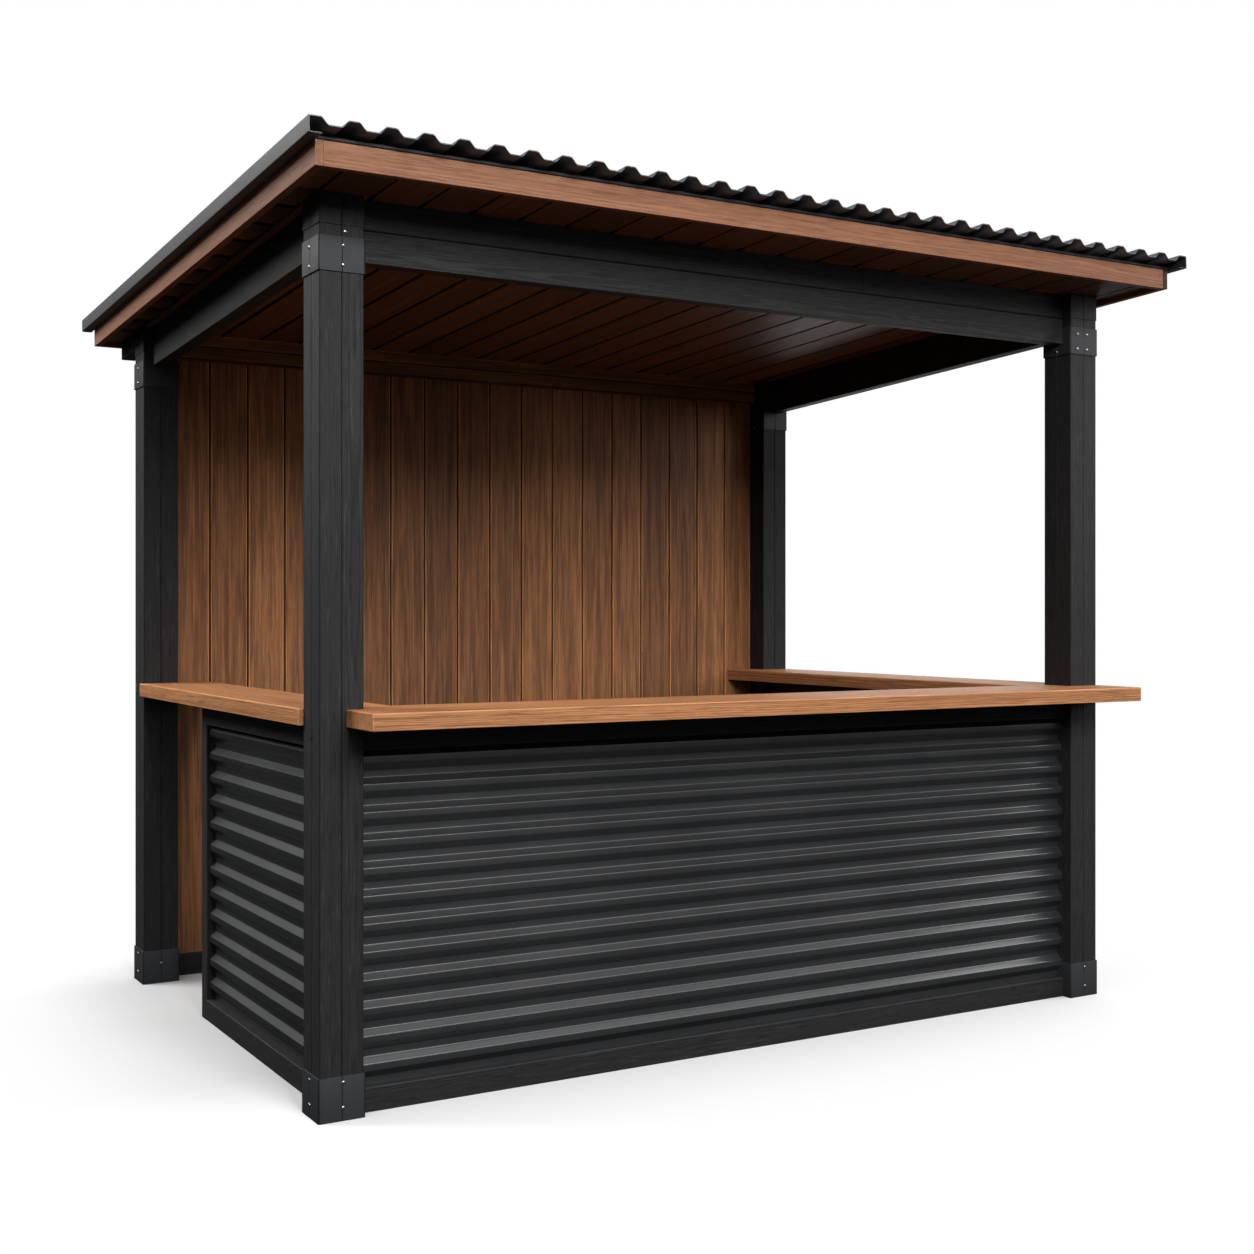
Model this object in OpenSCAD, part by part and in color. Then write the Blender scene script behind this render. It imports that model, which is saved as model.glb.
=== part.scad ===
// Garden bar: an open timber frame with a boarded back wall, a counter on three sides
// over panels of ribbed metal sheet, and a low roof of corrugated sheet that falls to the back.
// Sizes are in millimetres. The origin is on the ground in the middle of the footprint,
// +X runs along the front to the right, +Y to the back and +Z up.

/* [Frame] */
// Width over the outer faces of the corner posts
frame_w = 2764; // [2200:1:3600]
// Depth over the outer faces of the corner posts
frame_d = 1890; // [1500:10:2600]
// Height of the ceiling above the ground at the front face of the posts
frame_h = 2372; // [2150:1:2700]
// Fall of the roof towards the back, in degrees
roof_pitch = 2.5; // [0:0.1:5]

/* [Posts] */
// Side of the square posts
post_w = 120; // [90:1:160]
// Width of the V groove down the middle of each post face
groove_w = 6; // [2:0.5:12]
// Width of the bevels along the edges of the posts
post_bevel = 3; // [1:0.5:8]
// How far the head block on a post stands out beyond the post
head_proud = 6; // [5:0.5:15]

/* [Sleeves] */
// Thickness of the steel sleeve plates
sleeve_t = 4; // [2:0.5:5]
// Height of the sleeves at the feet of the posts
base_sleeve_h = 115; // [80:1:200]
// Height of the sleeves near the tops of the posts
top_sleeve_h = 90; // [60:1:140]
// Bare post between a top sleeve and the head block
top_sleeve_gap = 30; // [10:1:60]

/* [Beams] */
// Height of each of the two courses of the front beam, and of the lower course of the side beams
beam_h = 83; // [60:1:110]
// Height of the upper course of the side beams
side_upper_h = 52; // [40:1:110]
// Thickness of the beams
beam_t = 50; // [35:1:70]
// How far the beams lie behind the outer faces of the posts
beam_recess = 32; // [10:1:45]
// Height of the rafter tails under the back eaves
tail_h = 60; // [40:1:80]
// Height of each of the two courses of the header on the back wall
header_h = 45; // [30:1:70]
// Thickness of the header on the back wall
header_t = 35; // [20:1:50]

/* [Roof] */
// How far the roof reaches beyond the posts at each side
roof_side = 125; // [90:1:300]
// How far the roof reaches beyond the posts at the front and at the back
roof_end = 275; // [150:1:450]
// Thickness of the ceiling and soffit boards
deck_t = 18; // [12:1:28]
// Height of the fascia and barge boards
fascia_h = 63; // [50:1:120]
// Thickness of the fascia and barge boards
fascia_t = 22; // [16:1:32]
// How far the fascia and barge boards hang below the soffit
fascia_hang = 14; // [5:1:30]
// How far the roof sheet reaches beyond the fascias
eaves_reach = 50; // [15:1:90]
// Height of the strips on the fascias
strip_h = 8; // [6:1:25]
// How far a strip stands out before its fascia
strip_proud = 4; // [1:0.5:10]
// Open gap between the strips and the roof sheet
strip_gap = 10; // [0:1:30]
// Width of the roof battens
batten_w = 45; // [30:1:70]
// Largest spacing of the roof battens
batten_pitch = 600; // [400:10:900]

/* [Roof sheet] */
// Spacing of the ridges
ridge_pitch = 97; // [60:1:150]
// Height of the ridges
ridge_h = 18; // [10:1:35]
// Thickness of the sheet and of the verge trims
sheet_t = 2.5; // [1.5:0.1:4]
// How far a verge trim stands outside its barge board
verge_out = 33; // [15:1:45]
// How far a verge trim reaches below the top of its barge board
verge_lap = 3; // [0.5:0.5:6]

/* [Back wall] */
// Thickness of the back wall
wall_t = 28; // [18:1:45]
// Height of the rail under the back wall
wall_rail_h = 75; // [50:1:110]

/* [Panels] */
// Thickness of the rails and of the end stud
rail_t = 45; // [35:1:60]
// Height of the rails on the ground
bottom_rail_h = 65; // [40:1:100]
// Height of the rails under the counters
top_rail_h = 65; // [40:1:100]
// How far the front rails lie behind the post faces
front_recess = 30; // [10:1:50]
// How far the side rails lie behind the post faces
side_recess = 50; // [10:1:60]
// How far the ribs lie behind the faces of the rails
rib_set = 10; // [4:1:15]
// Depth of the ribs
rib_d = 20; // [10:1:25]
// Spacing of the ribs
rib_pitch = 73; // [50:1:110]
// Thickness of the panel sheets
panel_t = 2.5; // [1.5:0.1:4]
// Clear width of the way in between the end stud and the back left post
entry_w = 540; // [450:10:700]
// Width of the end stud along the side
stud_w = 53; // [35:1:80]

/* [Counters] */
// Height of the counter tops
counter_h = 1050; // [900:5:1150]
// Thickness of the counter boards
counter_t = 45; // [28:1:60]
// How far the front counter reaches out before the posts
counter_out = 183; // [100:1:300]
// How far the left end of the front counter lies in from the left post face
counter_end_in = 72; // [40:1:85]
// How far the side counters stand out beyond the post faces
counter_side_out = 15; // [5:1:40]
// How far the inner edges of the side counters lie in from the post faces
counter_in = 242; // [200:1:320]

/* [Hidden] */
left_x = -frame_w / 2;
right_x = frame_w / 2;
front_y = -frame_d / 2;
back_y = frame_d / 2;
post_x = (frame_w - post_w) / 2;
post_y = (frame_d - post_w) / 2;
bay_x = frame_w / 2 - post_w;
bay_y = frame_d / 2 - post_w;
roof_fall = tan(roof_pitch);
roof_w = frame_w + 2 * roof_side;
roof_d = frame_d + 2 * roof_end;
front_seam = ceiling_z(front_y) - beam_h;
back_seam = ceiling_z(back_y) - beam_h;

// Heights of the roof layers above the underside of the ceiling
fascia_top = fascia_h - fascia_hang;
strip_top = fascia_top + strip_h;
sheet_low = strip_top + strip_gap;
sheet_high = sheet_low + ridge_h + sheet_t;
verge_low = fascia_top - verge_lap;

// Places of the roof's edges
barge_x = roof_w / 2 - verge_out;
barge_in = barge_x - fascia_t;
fascia_y = roof_d / 2 - eaves_reach;
fascia_in = fascia_y - fascia_t;
sheet_half = roof_w / 2 - sheet_t;
slope_front = (-roof_d / 2 - front_y - verge_low * sin(roof_pitch)) / cos(roof_pitch);
slope_back = (roof_d / 2 - front_y - sheet_high * sin(roof_pitch)) / cos(roof_pitch);
ridge_steps = 12;
// Steps from a side of the sheet to its first ridge top
edge_steps = 2;
// Half widths of a ridge's top and of its foot, as shares of the spacing
ridge_top = 0.12;
ridge_foot = 0.34;

counter_low = counter_h - counter_t;
panel_high = counter_low - top_rail_h;
stud_y = bay_y - entry_w - stud_w;
// Shares of one rib: its upper slope, its outer flat, its lower slope and its inner flat
rib_shares = [0.22, 0.25, 0.27, 0.26];

black_timber = "#2b2b2c";
brown_timber = "#8a5637";
dark_timber = "#5a3722";
dark_steel = "#3b3f43";
black_sheet = "#242527";

// Height of the underside of the ceiling at a place along the depth
function ceiling_z(y) = frame_h - roof_fall * (y - front_y);

// Height of the corrugated sheet above its valleys, u in ridges from a ridge top
function ridge_rise(u) = ridge_h * eased((ridge_foot - abs(u - round(u))) / (ridge_foot - ridge_top));

// Goes from 0 to 1 with a level start and end, and stays level outside them
function eased(t) = t < 0 ? 0 : t > 1 ? 1 : t * t * (3 - 2 * t);

// A box between two corners
module block(x, y, z)
    translate([x[0], y[0], z[0]]) cube([x[1] - x[0], y[1] - y[0], z[1] - z[0]]);

// Carries an outline in Y and Z along X
module along_x(x0, x1)
    translate([x0, 0, 0]) rotate([90, 0, 90]) linear_extrude(x1 - x0) children();

// Carries an outline in X and Z along Y
module along_y(y0, y1)
    translate([0, y1, 0]) rotate([90, 0, 0]) linear_extrude(y1 - y0) children();

// A slab that lies parallel to the ceiling, between two heights above its underside
module roof_slab(x, y, low, high)
    along_x(x[0], x[1]) polygon([
        [y[0], ceiling_z(y[0]) + low], [y[1], ceiling_z(y[1]) + low],
        [y[1], ceiling_z(y[1]) + high], [y[0], ceiling_z(y[0]) + high]
    ]);

// A block with a level foot that reaches up to the underside of the ceiling
module up_to_ceiling(x, y, foot)
    along_x(x[0], x[1]) polygon([
        [y[0], foot], [y[1], foot], [y[1], ceiling_z(y[1])], [y[0], ceiling_z(y[0])]
    ]);

// Places a shape drawn flat on the slope of the roof
module on_slope()
    translate([0, front_y, frame_h]) rotate([-roof_pitch, 0, 0]) children();

module mirrored_x() mirror([1, 0, 0]) children();

// Square post with bevelled edges and a V groove in each face
module post_section()
    difference() {
        intersection() {
            square(post_w, center = true);
            rotate(45) square((post_w - post_bevel) * sqrt(2), center = true);
        }
        for (turn = [0:90:270])
            rotate(turn) translate([post_w / 2, 0]) rotate(45) square(groove_w * sqrt(0.5), center = true);
    }

module post(x, y, height)
    color(black_timber) translate([x, y, 0]) linear_extrude(height) post_section();

module sleeve(x, y, foot, height)
    translate([x, y, foot]) linear_extrude(height) difference() {
        square(post_w + 2 * sleeve_t, center = true);
        square(post_w, center = true);
    }

module post_heads()
    color(black_timber)
    for (x = [-post_x, post_x]) {
        reach = post_w / 2 + head_proud;
        up_to_ceiling([x - reach, x + reach], [-post_y - reach, -post_y + reach], front_seam);
        up_to_ceiling([x - reach, x + reach], [post_y - reach, post_y + reach], back_seam);
    }

module base_sleeves()
    color(dark_steel)
    for (x = [-post_x, post_x], y = [-post_y, post_y])
        sleeve(x, y, 0, base_sleeve_h);

module top_sleeves()
    color(dark_steel)
    for (x = [-post_x, post_x]) {
        sleeve(x, -post_y, front_seam - top_sleeve_gap - top_sleeve_h, top_sleeve_h);
        sleeve(x, post_y, back_seam - top_sleeve_gap - top_sleeve_h, top_sleeve_h);
    }

module front_beam_lower()
    color(black_timber) block(
        [-bay_x + sleeve_t, bay_x - sleeve_t],
        [front_y + beam_recess, front_y + beam_recess + beam_t],
        [front_seam - beam_h, front_seam]
    );

module front_beam_upper()
    color(black_timber) up_to_ceiling(
        [-bay_x + head_proud, bay_x - head_proud],
        [front_y + beam_recess, front_y + beam_recess + beam_t],
        front_seam
    );

module left_beam_lower()
    color(black_timber) roof_slab(
        [left_x + beam_recess, left_x + beam_recess + beam_t],
        [-bay_y + sleeve_t, bay_y - sleeve_t],
        -side_upper_h - beam_h, -side_upper_h
    );

module left_beam_upper()
    color(black_timber) roof_slab(
        [left_x + beam_recess, left_x + beam_recess + beam_t],
        [-bay_y + head_proud, bay_y - head_proud],
        -side_upper_h, 0
    );

// One course of the header in front of the back wall, counted down from the ceiling
module header_course(index)
    color(brown_timber) roof_slab(
        [-bay_x + head_proud, bay_x - head_proud],
        [back_y - wall_t - header_t, back_y - wall_t],
        -(index + 1) * header_h, -index * header_h
    );

module rafter_tails()
    color(black_timber)
    for (x = [left_x, right_x - beam_t])
        roof_slab([x, x + beam_t], [back_y + head_proud, fascia_in], -tail_h, 0);

module deck(x, y)
    color(dark_timber) roof_slab(x, y, 0, deck_t);

module fascia_front()
    color(brown_timber)
    roof_slab([-barge_in, barge_in], [-fascia_y, -fascia_in], -fascia_hang, fascia_top);

module fascia_back()
    color(brown_timber)
    roof_slab([-barge_in, barge_in], [fascia_in, fascia_y], -fascia_hang, fascia_top);

module barge_left()
    color(brown_timber)
    roof_slab([-barge_x, -barge_in], [-fascia_y, fascia_y], -fascia_hang, fascia_top);

module eaves_strips()
    color(black_sheet) {
        roof_slab([-barge_x, barge_x], [-fascia_y - strip_proud, -fascia_in], fascia_top, strip_top);
        roof_slab([-barge_x, barge_x], [fascia_in, fascia_y + strip_proud], fascia_top, strip_top);
    }

// Angle that closes the side of the roof: a tall face beside the sheet and a lip to the barge
module verge_left()
    color(dark_steel) on_slope() along_y(slope_front, slope_back) polygon([
        [-roof_w / 2, verge_low], [-roof_w / 2, sheet_high],
        [-roof_w / 2 + sheet_t, sheet_high], [-roof_w / 2 + sheet_t, verge_low + sheet_t],
        [-barge_x, verge_low + sheet_t], [-barge_x, verge_low]
    ]);

module roof_battens() {
    run = 2 * fascia_in - batten_w;
    count = ceil(run / batten_pitch);
    color(dark_timber)
    for (i = [0:count]) {
        y = -fascia_in + run * i / count;
        roof_slab([-barge_in, barge_in], [y, y + batten_w], deck_t, sheet_low);
    }
}

// Corrugated sheet that starts a little before a ridge top at each side
module roof_sheet() {
    edges = 2 * edge_steps;
    steps = edges + ridge_steps * round(2 * sheet_half / ridge_pitch - edges / ridge_steps);
    profile = [
        for (i = [0:steps])
            [2 * sheet_half * (i / steps - 0.5), sheet_low + ridge_rise((i - edge_steps) / ridge_steps)]
    ];
    color(black_sheet) on_slope() along_y(slope_front, slope_back) polygon(concat(
        profile,
        [for (i = [steps:-1:0]) profile[i] + [0, sheet_t]]
    ));
}

// Wall between the back posts, cut back round the sleeves and the head blocks
module back_wall()
    color(brown_timber) difference() {
        up_to_ceiling([-bay_x, bay_x], [back_y - wall_t, back_y], wall_rail_h);
        for (side = [0, 1])
            mirror([side, 0, 0]) {
                foot_cut = bay_x - sleeve_t;
                head_cut = bay_x - head_proud;
                block([foot_cut, right_x], [bay_y, back_y + post_w], [0, base_sleeve_h]);
                block([head_cut, right_x], [bay_y, back_y + post_w],
                    [back_seam - top_sleeve_gap - top_sleeve_h, frame_h]);
            }
    }

module back_bottom_rail()
    color(black_timber) block(
        [-bay_x + sleeve_t, bay_x - sleeve_t], [back_y - rail_t, back_y], [0, wall_rail_h]
    );

// Outline of a ribbed sheet, with its outer side towards negative depth
module rib_outline() {
    height = panel_high - bottom_rail_h;
    ribs = round(height / rib_pitch);
    rise = height / ribs;
    low_slope = rib_shares[3] + rib_shares[2];
    outer_flat = low_slope + rib_shares[1];
    outside = [
        for (i = [0:ribs - 1]) each [
            [rib_d - panel_t, bottom_rail_h + i * rise],
            [rib_d - panel_t, bottom_rail_h + (i + rib_shares[3]) * rise],
            [0, bottom_rail_h + (i + low_slope) * rise],
            [0, bottom_rail_h + (i + outer_flat) * rise]
        ],
        [rib_d - panel_t, panel_high]
    ];
    polygon(concat(outside, [for (i = [len(outside) - 1:-1:0]) outside[i] + [panel_t, 0]]));
}

// Ribbed sheet between two places along the length, cut back round the base sleeves
module ribbed_sheet(from, to, sleeve_from, sleeve_to)
    color(black_sheet) difference() {
        along_x(from, to) rib_outline();
        block([from - sleeve_t, sleeve_from], [-rib_d, 2 * rib_d], [0, base_sleeve_h]);
        block([sleeve_to, to + sleeve_t], [-rib_d, 2 * rib_d], [0, base_sleeve_h]);
    }

module front_panel()
    translate([0, front_y + front_recess + rib_set, 0])
    ribbed_sheet(-bay_x, bay_x, -bay_x + sleeve_t, bay_x - sleeve_t);

module left_panel()
    translate([left_x + side_recess + rib_set, 0, 0]) rotate([0, 0, -90])
    ribbed_sheet(-stud_y, bay_y, -stud_y, bay_y - sleeve_t);

module right_panel()
    translate([right_x - side_recess - rib_set, 0, 0]) rotate([0, 0, 90])
    ribbed_sheet(-bay_y, bay_y, -bay_y + sleeve_t, bay_y - sleeve_t);

module front_rail(gap, low, high)
    color(black_timber) block(
        [-bay_x + gap, bay_x - gap], [front_y + front_recess, front_y + front_recess + rail_t], [low, high]
    );

module left_rail(gap, low, high)
    color(black_timber) block(
        [left_x + side_recess, left_x + side_recess + rail_t], [-bay_y + gap, stud_y], [low, high]
    );

module right_rail(gap, low, high)
    color(black_timber) block(
        [right_x - side_recess - rail_t, right_x - side_recess], [-bay_y + gap, bay_y - gap], [low, high]
    );

module left_end_stud()
    color(black_timber) block(
        [left_x + side_recess, left_x + side_recess + rail_t], [stud_y, stud_y + stud_w], [0, counter_low]
    );

// Board before the front posts, cut out round both of them
module counter_front()
    color(brown_timber) difference() {
        block([left_x + counter_end_in, right_x + counter_side_out],
            [front_y - counter_out, -bay_y], [counter_low, counter_h]);
        block([left_x, -bay_x], [front_y, -bay_y + post_w], [0, frame_h]);
        block([bay_x, right_x], [front_y, -bay_y + post_w], [0, frame_h]);
    }

// Board along a side from the front counter to the back wall, cut out round the back post
module counter_right()
    color(brown_timber) difference() {
        block([right_x - counter_in, right_x + counter_side_out], [-bay_y, back_y - wall_t],
            [counter_low, counter_h]);
        block([bay_x, right_x + 2 * counter_side_out], [bay_y, back_y], [0, frame_h]);
    }

post(-post_x, -post_y, front_seam);  // post_front_left
post(post_x, -post_y, front_seam);  // post_front_right
post(-post_x, post_y, back_seam);  // post_back_left
post(post_x, post_y, back_seam);  // post_back_right
post_heads();
base_sleeves();
top_sleeves();
front_beam_lower();
front_beam_upper();
left_beam_lower();
left_beam_upper();
mirrored_x() left_beam_lower();  // right_beam_lower
mirrored_x() left_beam_upper();  // right_beam_upper
header_course(1);  // back_header_lower
header_course(0);  // back_header_upper
rafter_tails();
deck([left_x, right_x], [front_y, back_y]);  // ceiling
deck([-barge_in, barge_in], [-fascia_in, front_y]);  // soffit_front
deck([-barge_in, left_x], [front_y, back_y]);  // soffit_left
deck([right_x, barge_in], [front_y, back_y]);  // soffit_right
deck([-barge_in, barge_in], [back_y, fascia_in]);  // soffit_back
fascia_front();
fascia_back();
barge_left();
mirrored_x() barge_left();  // barge_right
eaves_strips();
verge_left();
mirrored_x() verge_left();  // verge_right
roof_battens();
roof_sheet();
back_wall();
back_bottom_rail();
front_panel();
left_panel();
right_panel();
front_rail(sleeve_t, 0, bottom_rail_h);  // front_bottom_rail
left_rail(sleeve_t, 0, bottom_rail_h);  // left_bottom_rail
right_rail(sleeve_t, 0, bottom_rail_h);  // right_bottom_rail
front_rail(0, panel_high, counter_low);  // front_top_rail
left_rail(0, panel_high, counter_low);  // left_top_rail
right_rail(0, panel_high, counter_low);  // right_top_rail
left_end_stud();
counter_front();
mirrored_x() counter_right();  // counter_left
counter_right();
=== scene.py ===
"""Dresses the frame of a garden bar: grained boards, folded sheet metal, bolts, a studio floor and a camera.

Lengths are in metres, in the frame's own axes: +X along the front to the right, +Y to the back, +Z up.
"""

import math

import bpy
import numpy as np
from bpy.props import FloatProperty, FloatVectorProperty, IntProperty, PointerProperty
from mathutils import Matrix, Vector


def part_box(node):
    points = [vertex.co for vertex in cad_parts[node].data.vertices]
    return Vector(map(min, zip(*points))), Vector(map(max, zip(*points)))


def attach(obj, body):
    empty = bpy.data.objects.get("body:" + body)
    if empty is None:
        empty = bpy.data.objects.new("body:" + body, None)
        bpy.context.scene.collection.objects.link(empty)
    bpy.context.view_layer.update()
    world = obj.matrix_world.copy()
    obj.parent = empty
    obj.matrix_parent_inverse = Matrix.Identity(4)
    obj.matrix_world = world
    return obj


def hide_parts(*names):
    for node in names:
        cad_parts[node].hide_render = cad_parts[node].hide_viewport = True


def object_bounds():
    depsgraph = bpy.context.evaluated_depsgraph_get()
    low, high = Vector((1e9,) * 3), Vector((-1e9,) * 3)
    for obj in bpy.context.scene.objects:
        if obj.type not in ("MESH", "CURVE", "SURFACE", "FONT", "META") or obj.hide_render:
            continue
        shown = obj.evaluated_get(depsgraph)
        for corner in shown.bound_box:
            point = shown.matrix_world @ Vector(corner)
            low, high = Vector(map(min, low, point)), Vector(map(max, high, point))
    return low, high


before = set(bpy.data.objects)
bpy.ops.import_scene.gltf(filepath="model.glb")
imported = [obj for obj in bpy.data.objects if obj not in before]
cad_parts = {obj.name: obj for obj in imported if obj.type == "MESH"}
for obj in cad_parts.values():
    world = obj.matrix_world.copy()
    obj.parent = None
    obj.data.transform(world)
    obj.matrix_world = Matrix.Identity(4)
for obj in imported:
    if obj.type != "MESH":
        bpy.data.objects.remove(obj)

bl_info = {
    "name": "Garden Bar",
    "version": (1, 0, 0),
    "blender": (4, 5, 0),
    "location": "View3D > Sidebar > Garden Bar",
    "description": "Dresses the frame of a garden bar with boards, sheet metal and bolts",
    "category": "Object",
}

CAD_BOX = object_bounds()

X_AXIS, Y_AXIS, Z_AXIS = np.eye(3)

# How round edges are divided, and how far the edge marks (wear, painted highlight and painted shade) reach on
# to the flats beside them
ARC = np.radians([0.0, 30.0, 60.0, 90.0])
FADE = 0.0015
# Points along a bend of sheet metal, and the angle from which two faces meet in a sharp edge
BEND_STEPS = 7
SHARP_ANGLE = math.radians(40)
# The corners of a section in turn, and the angle at which the arc of each begins
CORNER_SIGNS = np.array([(1, 1), (-1, 1), (-1, -1), (1, -1)], float)[:, None]
QUARTER = np.radians(90)
QUARTERS = QUARTER * np.arange(4)[:, None]
# How dark the edge attribute draws: full (painted shade, and the eaves strips' own black), then painted shade
# on the edges of posts and across a groove
DARK = -1.0
POST_EDGE_SHADE = -0.6
GROOVE_SHADE = [0.0, -0.5, -0.8, -0.5, 0.0]
# Where the pith lies: its least and largest distance from a board's middle line, and how far the grain may
# be shifted along it
PITH_AWAY = (0.03, 0.12)
PITH_SHIFT = 9.0
# The slab that stands for the tongues between ceiling boards, drawn dark as painted shade in the gaps: its
# share of their thickness, what it is narrower by in all, and its radii
TONGUE_SHARE = 0.2
TONGUE_INSET = 0.004
TONGUE_ARRIS = 0.0005
TONGUE_END = 0.001
# Cuts between boards stay at least this share of the boards' pitch away from the ends of a row
SLIVER = 1 / 8
# Painted shade along the outline of a sleeve, over one fold and one seam, and how far the seam dips there;
# then which points of the plate's section lie on its rims, and the share of a rim's radius at its middle
# point
SLEEVE_SHADE = -np.array([0.0, 0.2, 1.0, 1.0, 0.2, 0.0, 0.0, 0.3, 0.5, 0.3, 0.0])
SLEEVE_DIP = [0.0] * 8 + [1.0, 0.0, 0.0]
SLEEVE_RIM = np.array([1.0, 0, 0, 1, 1, 0, 0, 1, 1, 1])
RIM_MIDDLE = 0.3
# Round heads in shares of their radius and height, from the rim up to the crown
HEAD_PROFILE = np.array([(1.0, -0.2), (1.0, 0.3), (0.88, 0.62), (0.6, 0.88), (0.22, 1.0)])
BOLT_SIDES = 14
SCREW_SIDES = 8


# Places in the frame


def box(node):
    """Lowest and highest corner of a node of the frame."""
    return np.array(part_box(node), float)


CEILING = box("ceiling")
CEILING_SIZE = CEILING[1] - CEILING[0]
SOFFIT_SIZE = np.subtract(*box("soffit_front")[::-1])
# How far the roof falls for each metre towards the back
FALL = (CEILING_SIZE[2] - SOFFIT_SIZE[2]) / (CEILING_SIZE[1] - SOFFIT_SIZE[1])
LEVEL_ACROSS = np.array([0.0, 1.0, -FALL])
SLOPE_ALONG = LEVEL_ACROSS / np.linalg.norm(LEVEL_ACROSS)
SLOPE_NORMAL = np.cross(X_AXIS, SLOPE_ALONG)

POSTS = {
    name: box("post_" + name) for name in ("front_left", "front_right", "back_left", "back_right")
}
OUTER_LOW = POSTS["front_left"][0]
OUTER_HIGH = POSTS["back_right"][1]
POST_WIDTH = POSTS["front_left"][1, 0] - POSTS["front_left"][0, 0]
BAY_LOW = OUTER_LOW + POST_WIDTH
BAY_HIGH = OUTER_HIGH - POST_WIDTH


def ceiling_height(y):
    """Height of the underside of the ceiling at a place along the depth."""
    return CEILING[0, 2] + FALL * (CEILING[1, 1] - y)


SLOPE_ORIGIN = np.array([0.0, CEILING[0, 1], ceiling_height(CEILING[0, 1])])


def slab(node):
    """Box of a node that lies along the roof, with its heights taken above the underside of the ceiling."""
    low, high = box(node)
    low[2] -= ceiling_height(high[1])
    high[2] -= ceiling_height(low[1])
    return np.array([low, high])


def slope_box(node):
    """Box of a node in the roof's own axes: along X, down the slope, and square to the slope."""
    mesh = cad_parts[node].data
    points = np.empty(len(mesh.vertices) * 3, np.float32)
    mesh.vertices.foreach_get("co", points)
    points = points.reshape(-1, 3) - SLOPE_ORIGIN
    turned = points @ np.stack([X_AXIS, SLOPE_ALONG, SLOPE_NORMAL]).T
    return np.array([turned.min(0), turned.max(0)])


# Settings that a user would change


def amount(name, description, default, **limits):
    """A property that is one number, not below zero."""
    return FloatProperty(name=name, description=description, default=default, min=0.0, **limits)


def length(name, description, default):
    """A length property."""
    return amount(name, description, default, unit="LENGTH", precision=4)


def portion(name, description, default):
    """A share property, from none to all."""
    return amount(name, description, default, subtype="FACTOR", max=1.0)


def wattage(name, description, default):
    """The power of a light."""
    return amount(name, description, default, unit="POWER")


def vector(name, description, default, **options):
    """A property of two or three numbers."""
    return FloatVectorProperty(
        name=name, description=description, default=default, size=len(default), **options
    )


def colour(name, description, default):
    """A colour property."""
    return vector(name, description, default, subtype="COLOR", min=0.0, max=1.0)


class GardenBarSizes(bpy.types.PropertyGroup):
    """Sizes of the boards, the sheet metal and the fixings."""

    arris: length("Arris", "Radius of the edges of posts, beams, rails and counters", 0.0028)
    fine_arris: length("Fine arris", "Radius of the edges of boards and fascias", 0.0018)
    joint_arris: length("Joint arris", "Radius of the finest edges, as between two staves", 0.0005)
    groove: length("Post groove", "Width of the groove down each post face", 0.003)
    board_gap: length("Board gap", "Gap between neighbouring boards", 0.007)
    board_arris: length("Board arris", "Radius of the edges of the wall boards", 0.003)
    ceiling_arris: length("Ceiling arris", "Radius of the edges of the ceiling boards", 0.0045)
    wall_board: length("Wall board", "Width of a board of the back wall", 0.14)
    ceiling_board: length("Ceiling board", "Width of a board of the ceiling", 0.142)
    lapped_board: length("Lapped board", "Width of a board of the side soffits", 0.19)
    lapped_thickness: length("Lapped board thickness", "Thickness of a board of the side soffits", 0.009)
    lap_over: length("Lap", "How far a lapped board reaches over the next one", 0.02)
    sheet: length("Sheet", "Thickness of the roof sheet, the verge trims and the ribbed panels", 0.0025)
    sheet_bend: length("Rib bend", "Radius of the bends of the ribbed panels", 0.005)
    verge_bend: length("Verge bend", "Radius of the bends of the verge trims", 0.004)
    sleeve_fold: length("Sleeve fold", "Radius of the folds of the steel sleeves", 0.0055)
    seam: length("Sleeve seam", "Width of the seam down the middle of a sleeve plate", 0.0026)
    bolt_radius: length("Bolt radius", "Radius of the bolt heads on the sleeves", 0.0052)
    bolt_height: length("Bolt height", "Height of the bolt heads on the sleeves", 0.003)
    screw_radius: length("Screw radius", "Radius of the screw heads on the roof sheet", 0.0075)
    screw_height: length("Screw height", "Height of the screw heads on the roof sheet", 0.0035)
    ridge: length("Ridge spacing", "Spacing of the ridges of the roof sheet", 0.097)
    batten: length("Batten spacing", "Largest spacing of the roof battens", 0.6)
    ribs: IntProperty(name="Ribs", description="Ribs in the height of a panel", default=12, min=2)


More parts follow.
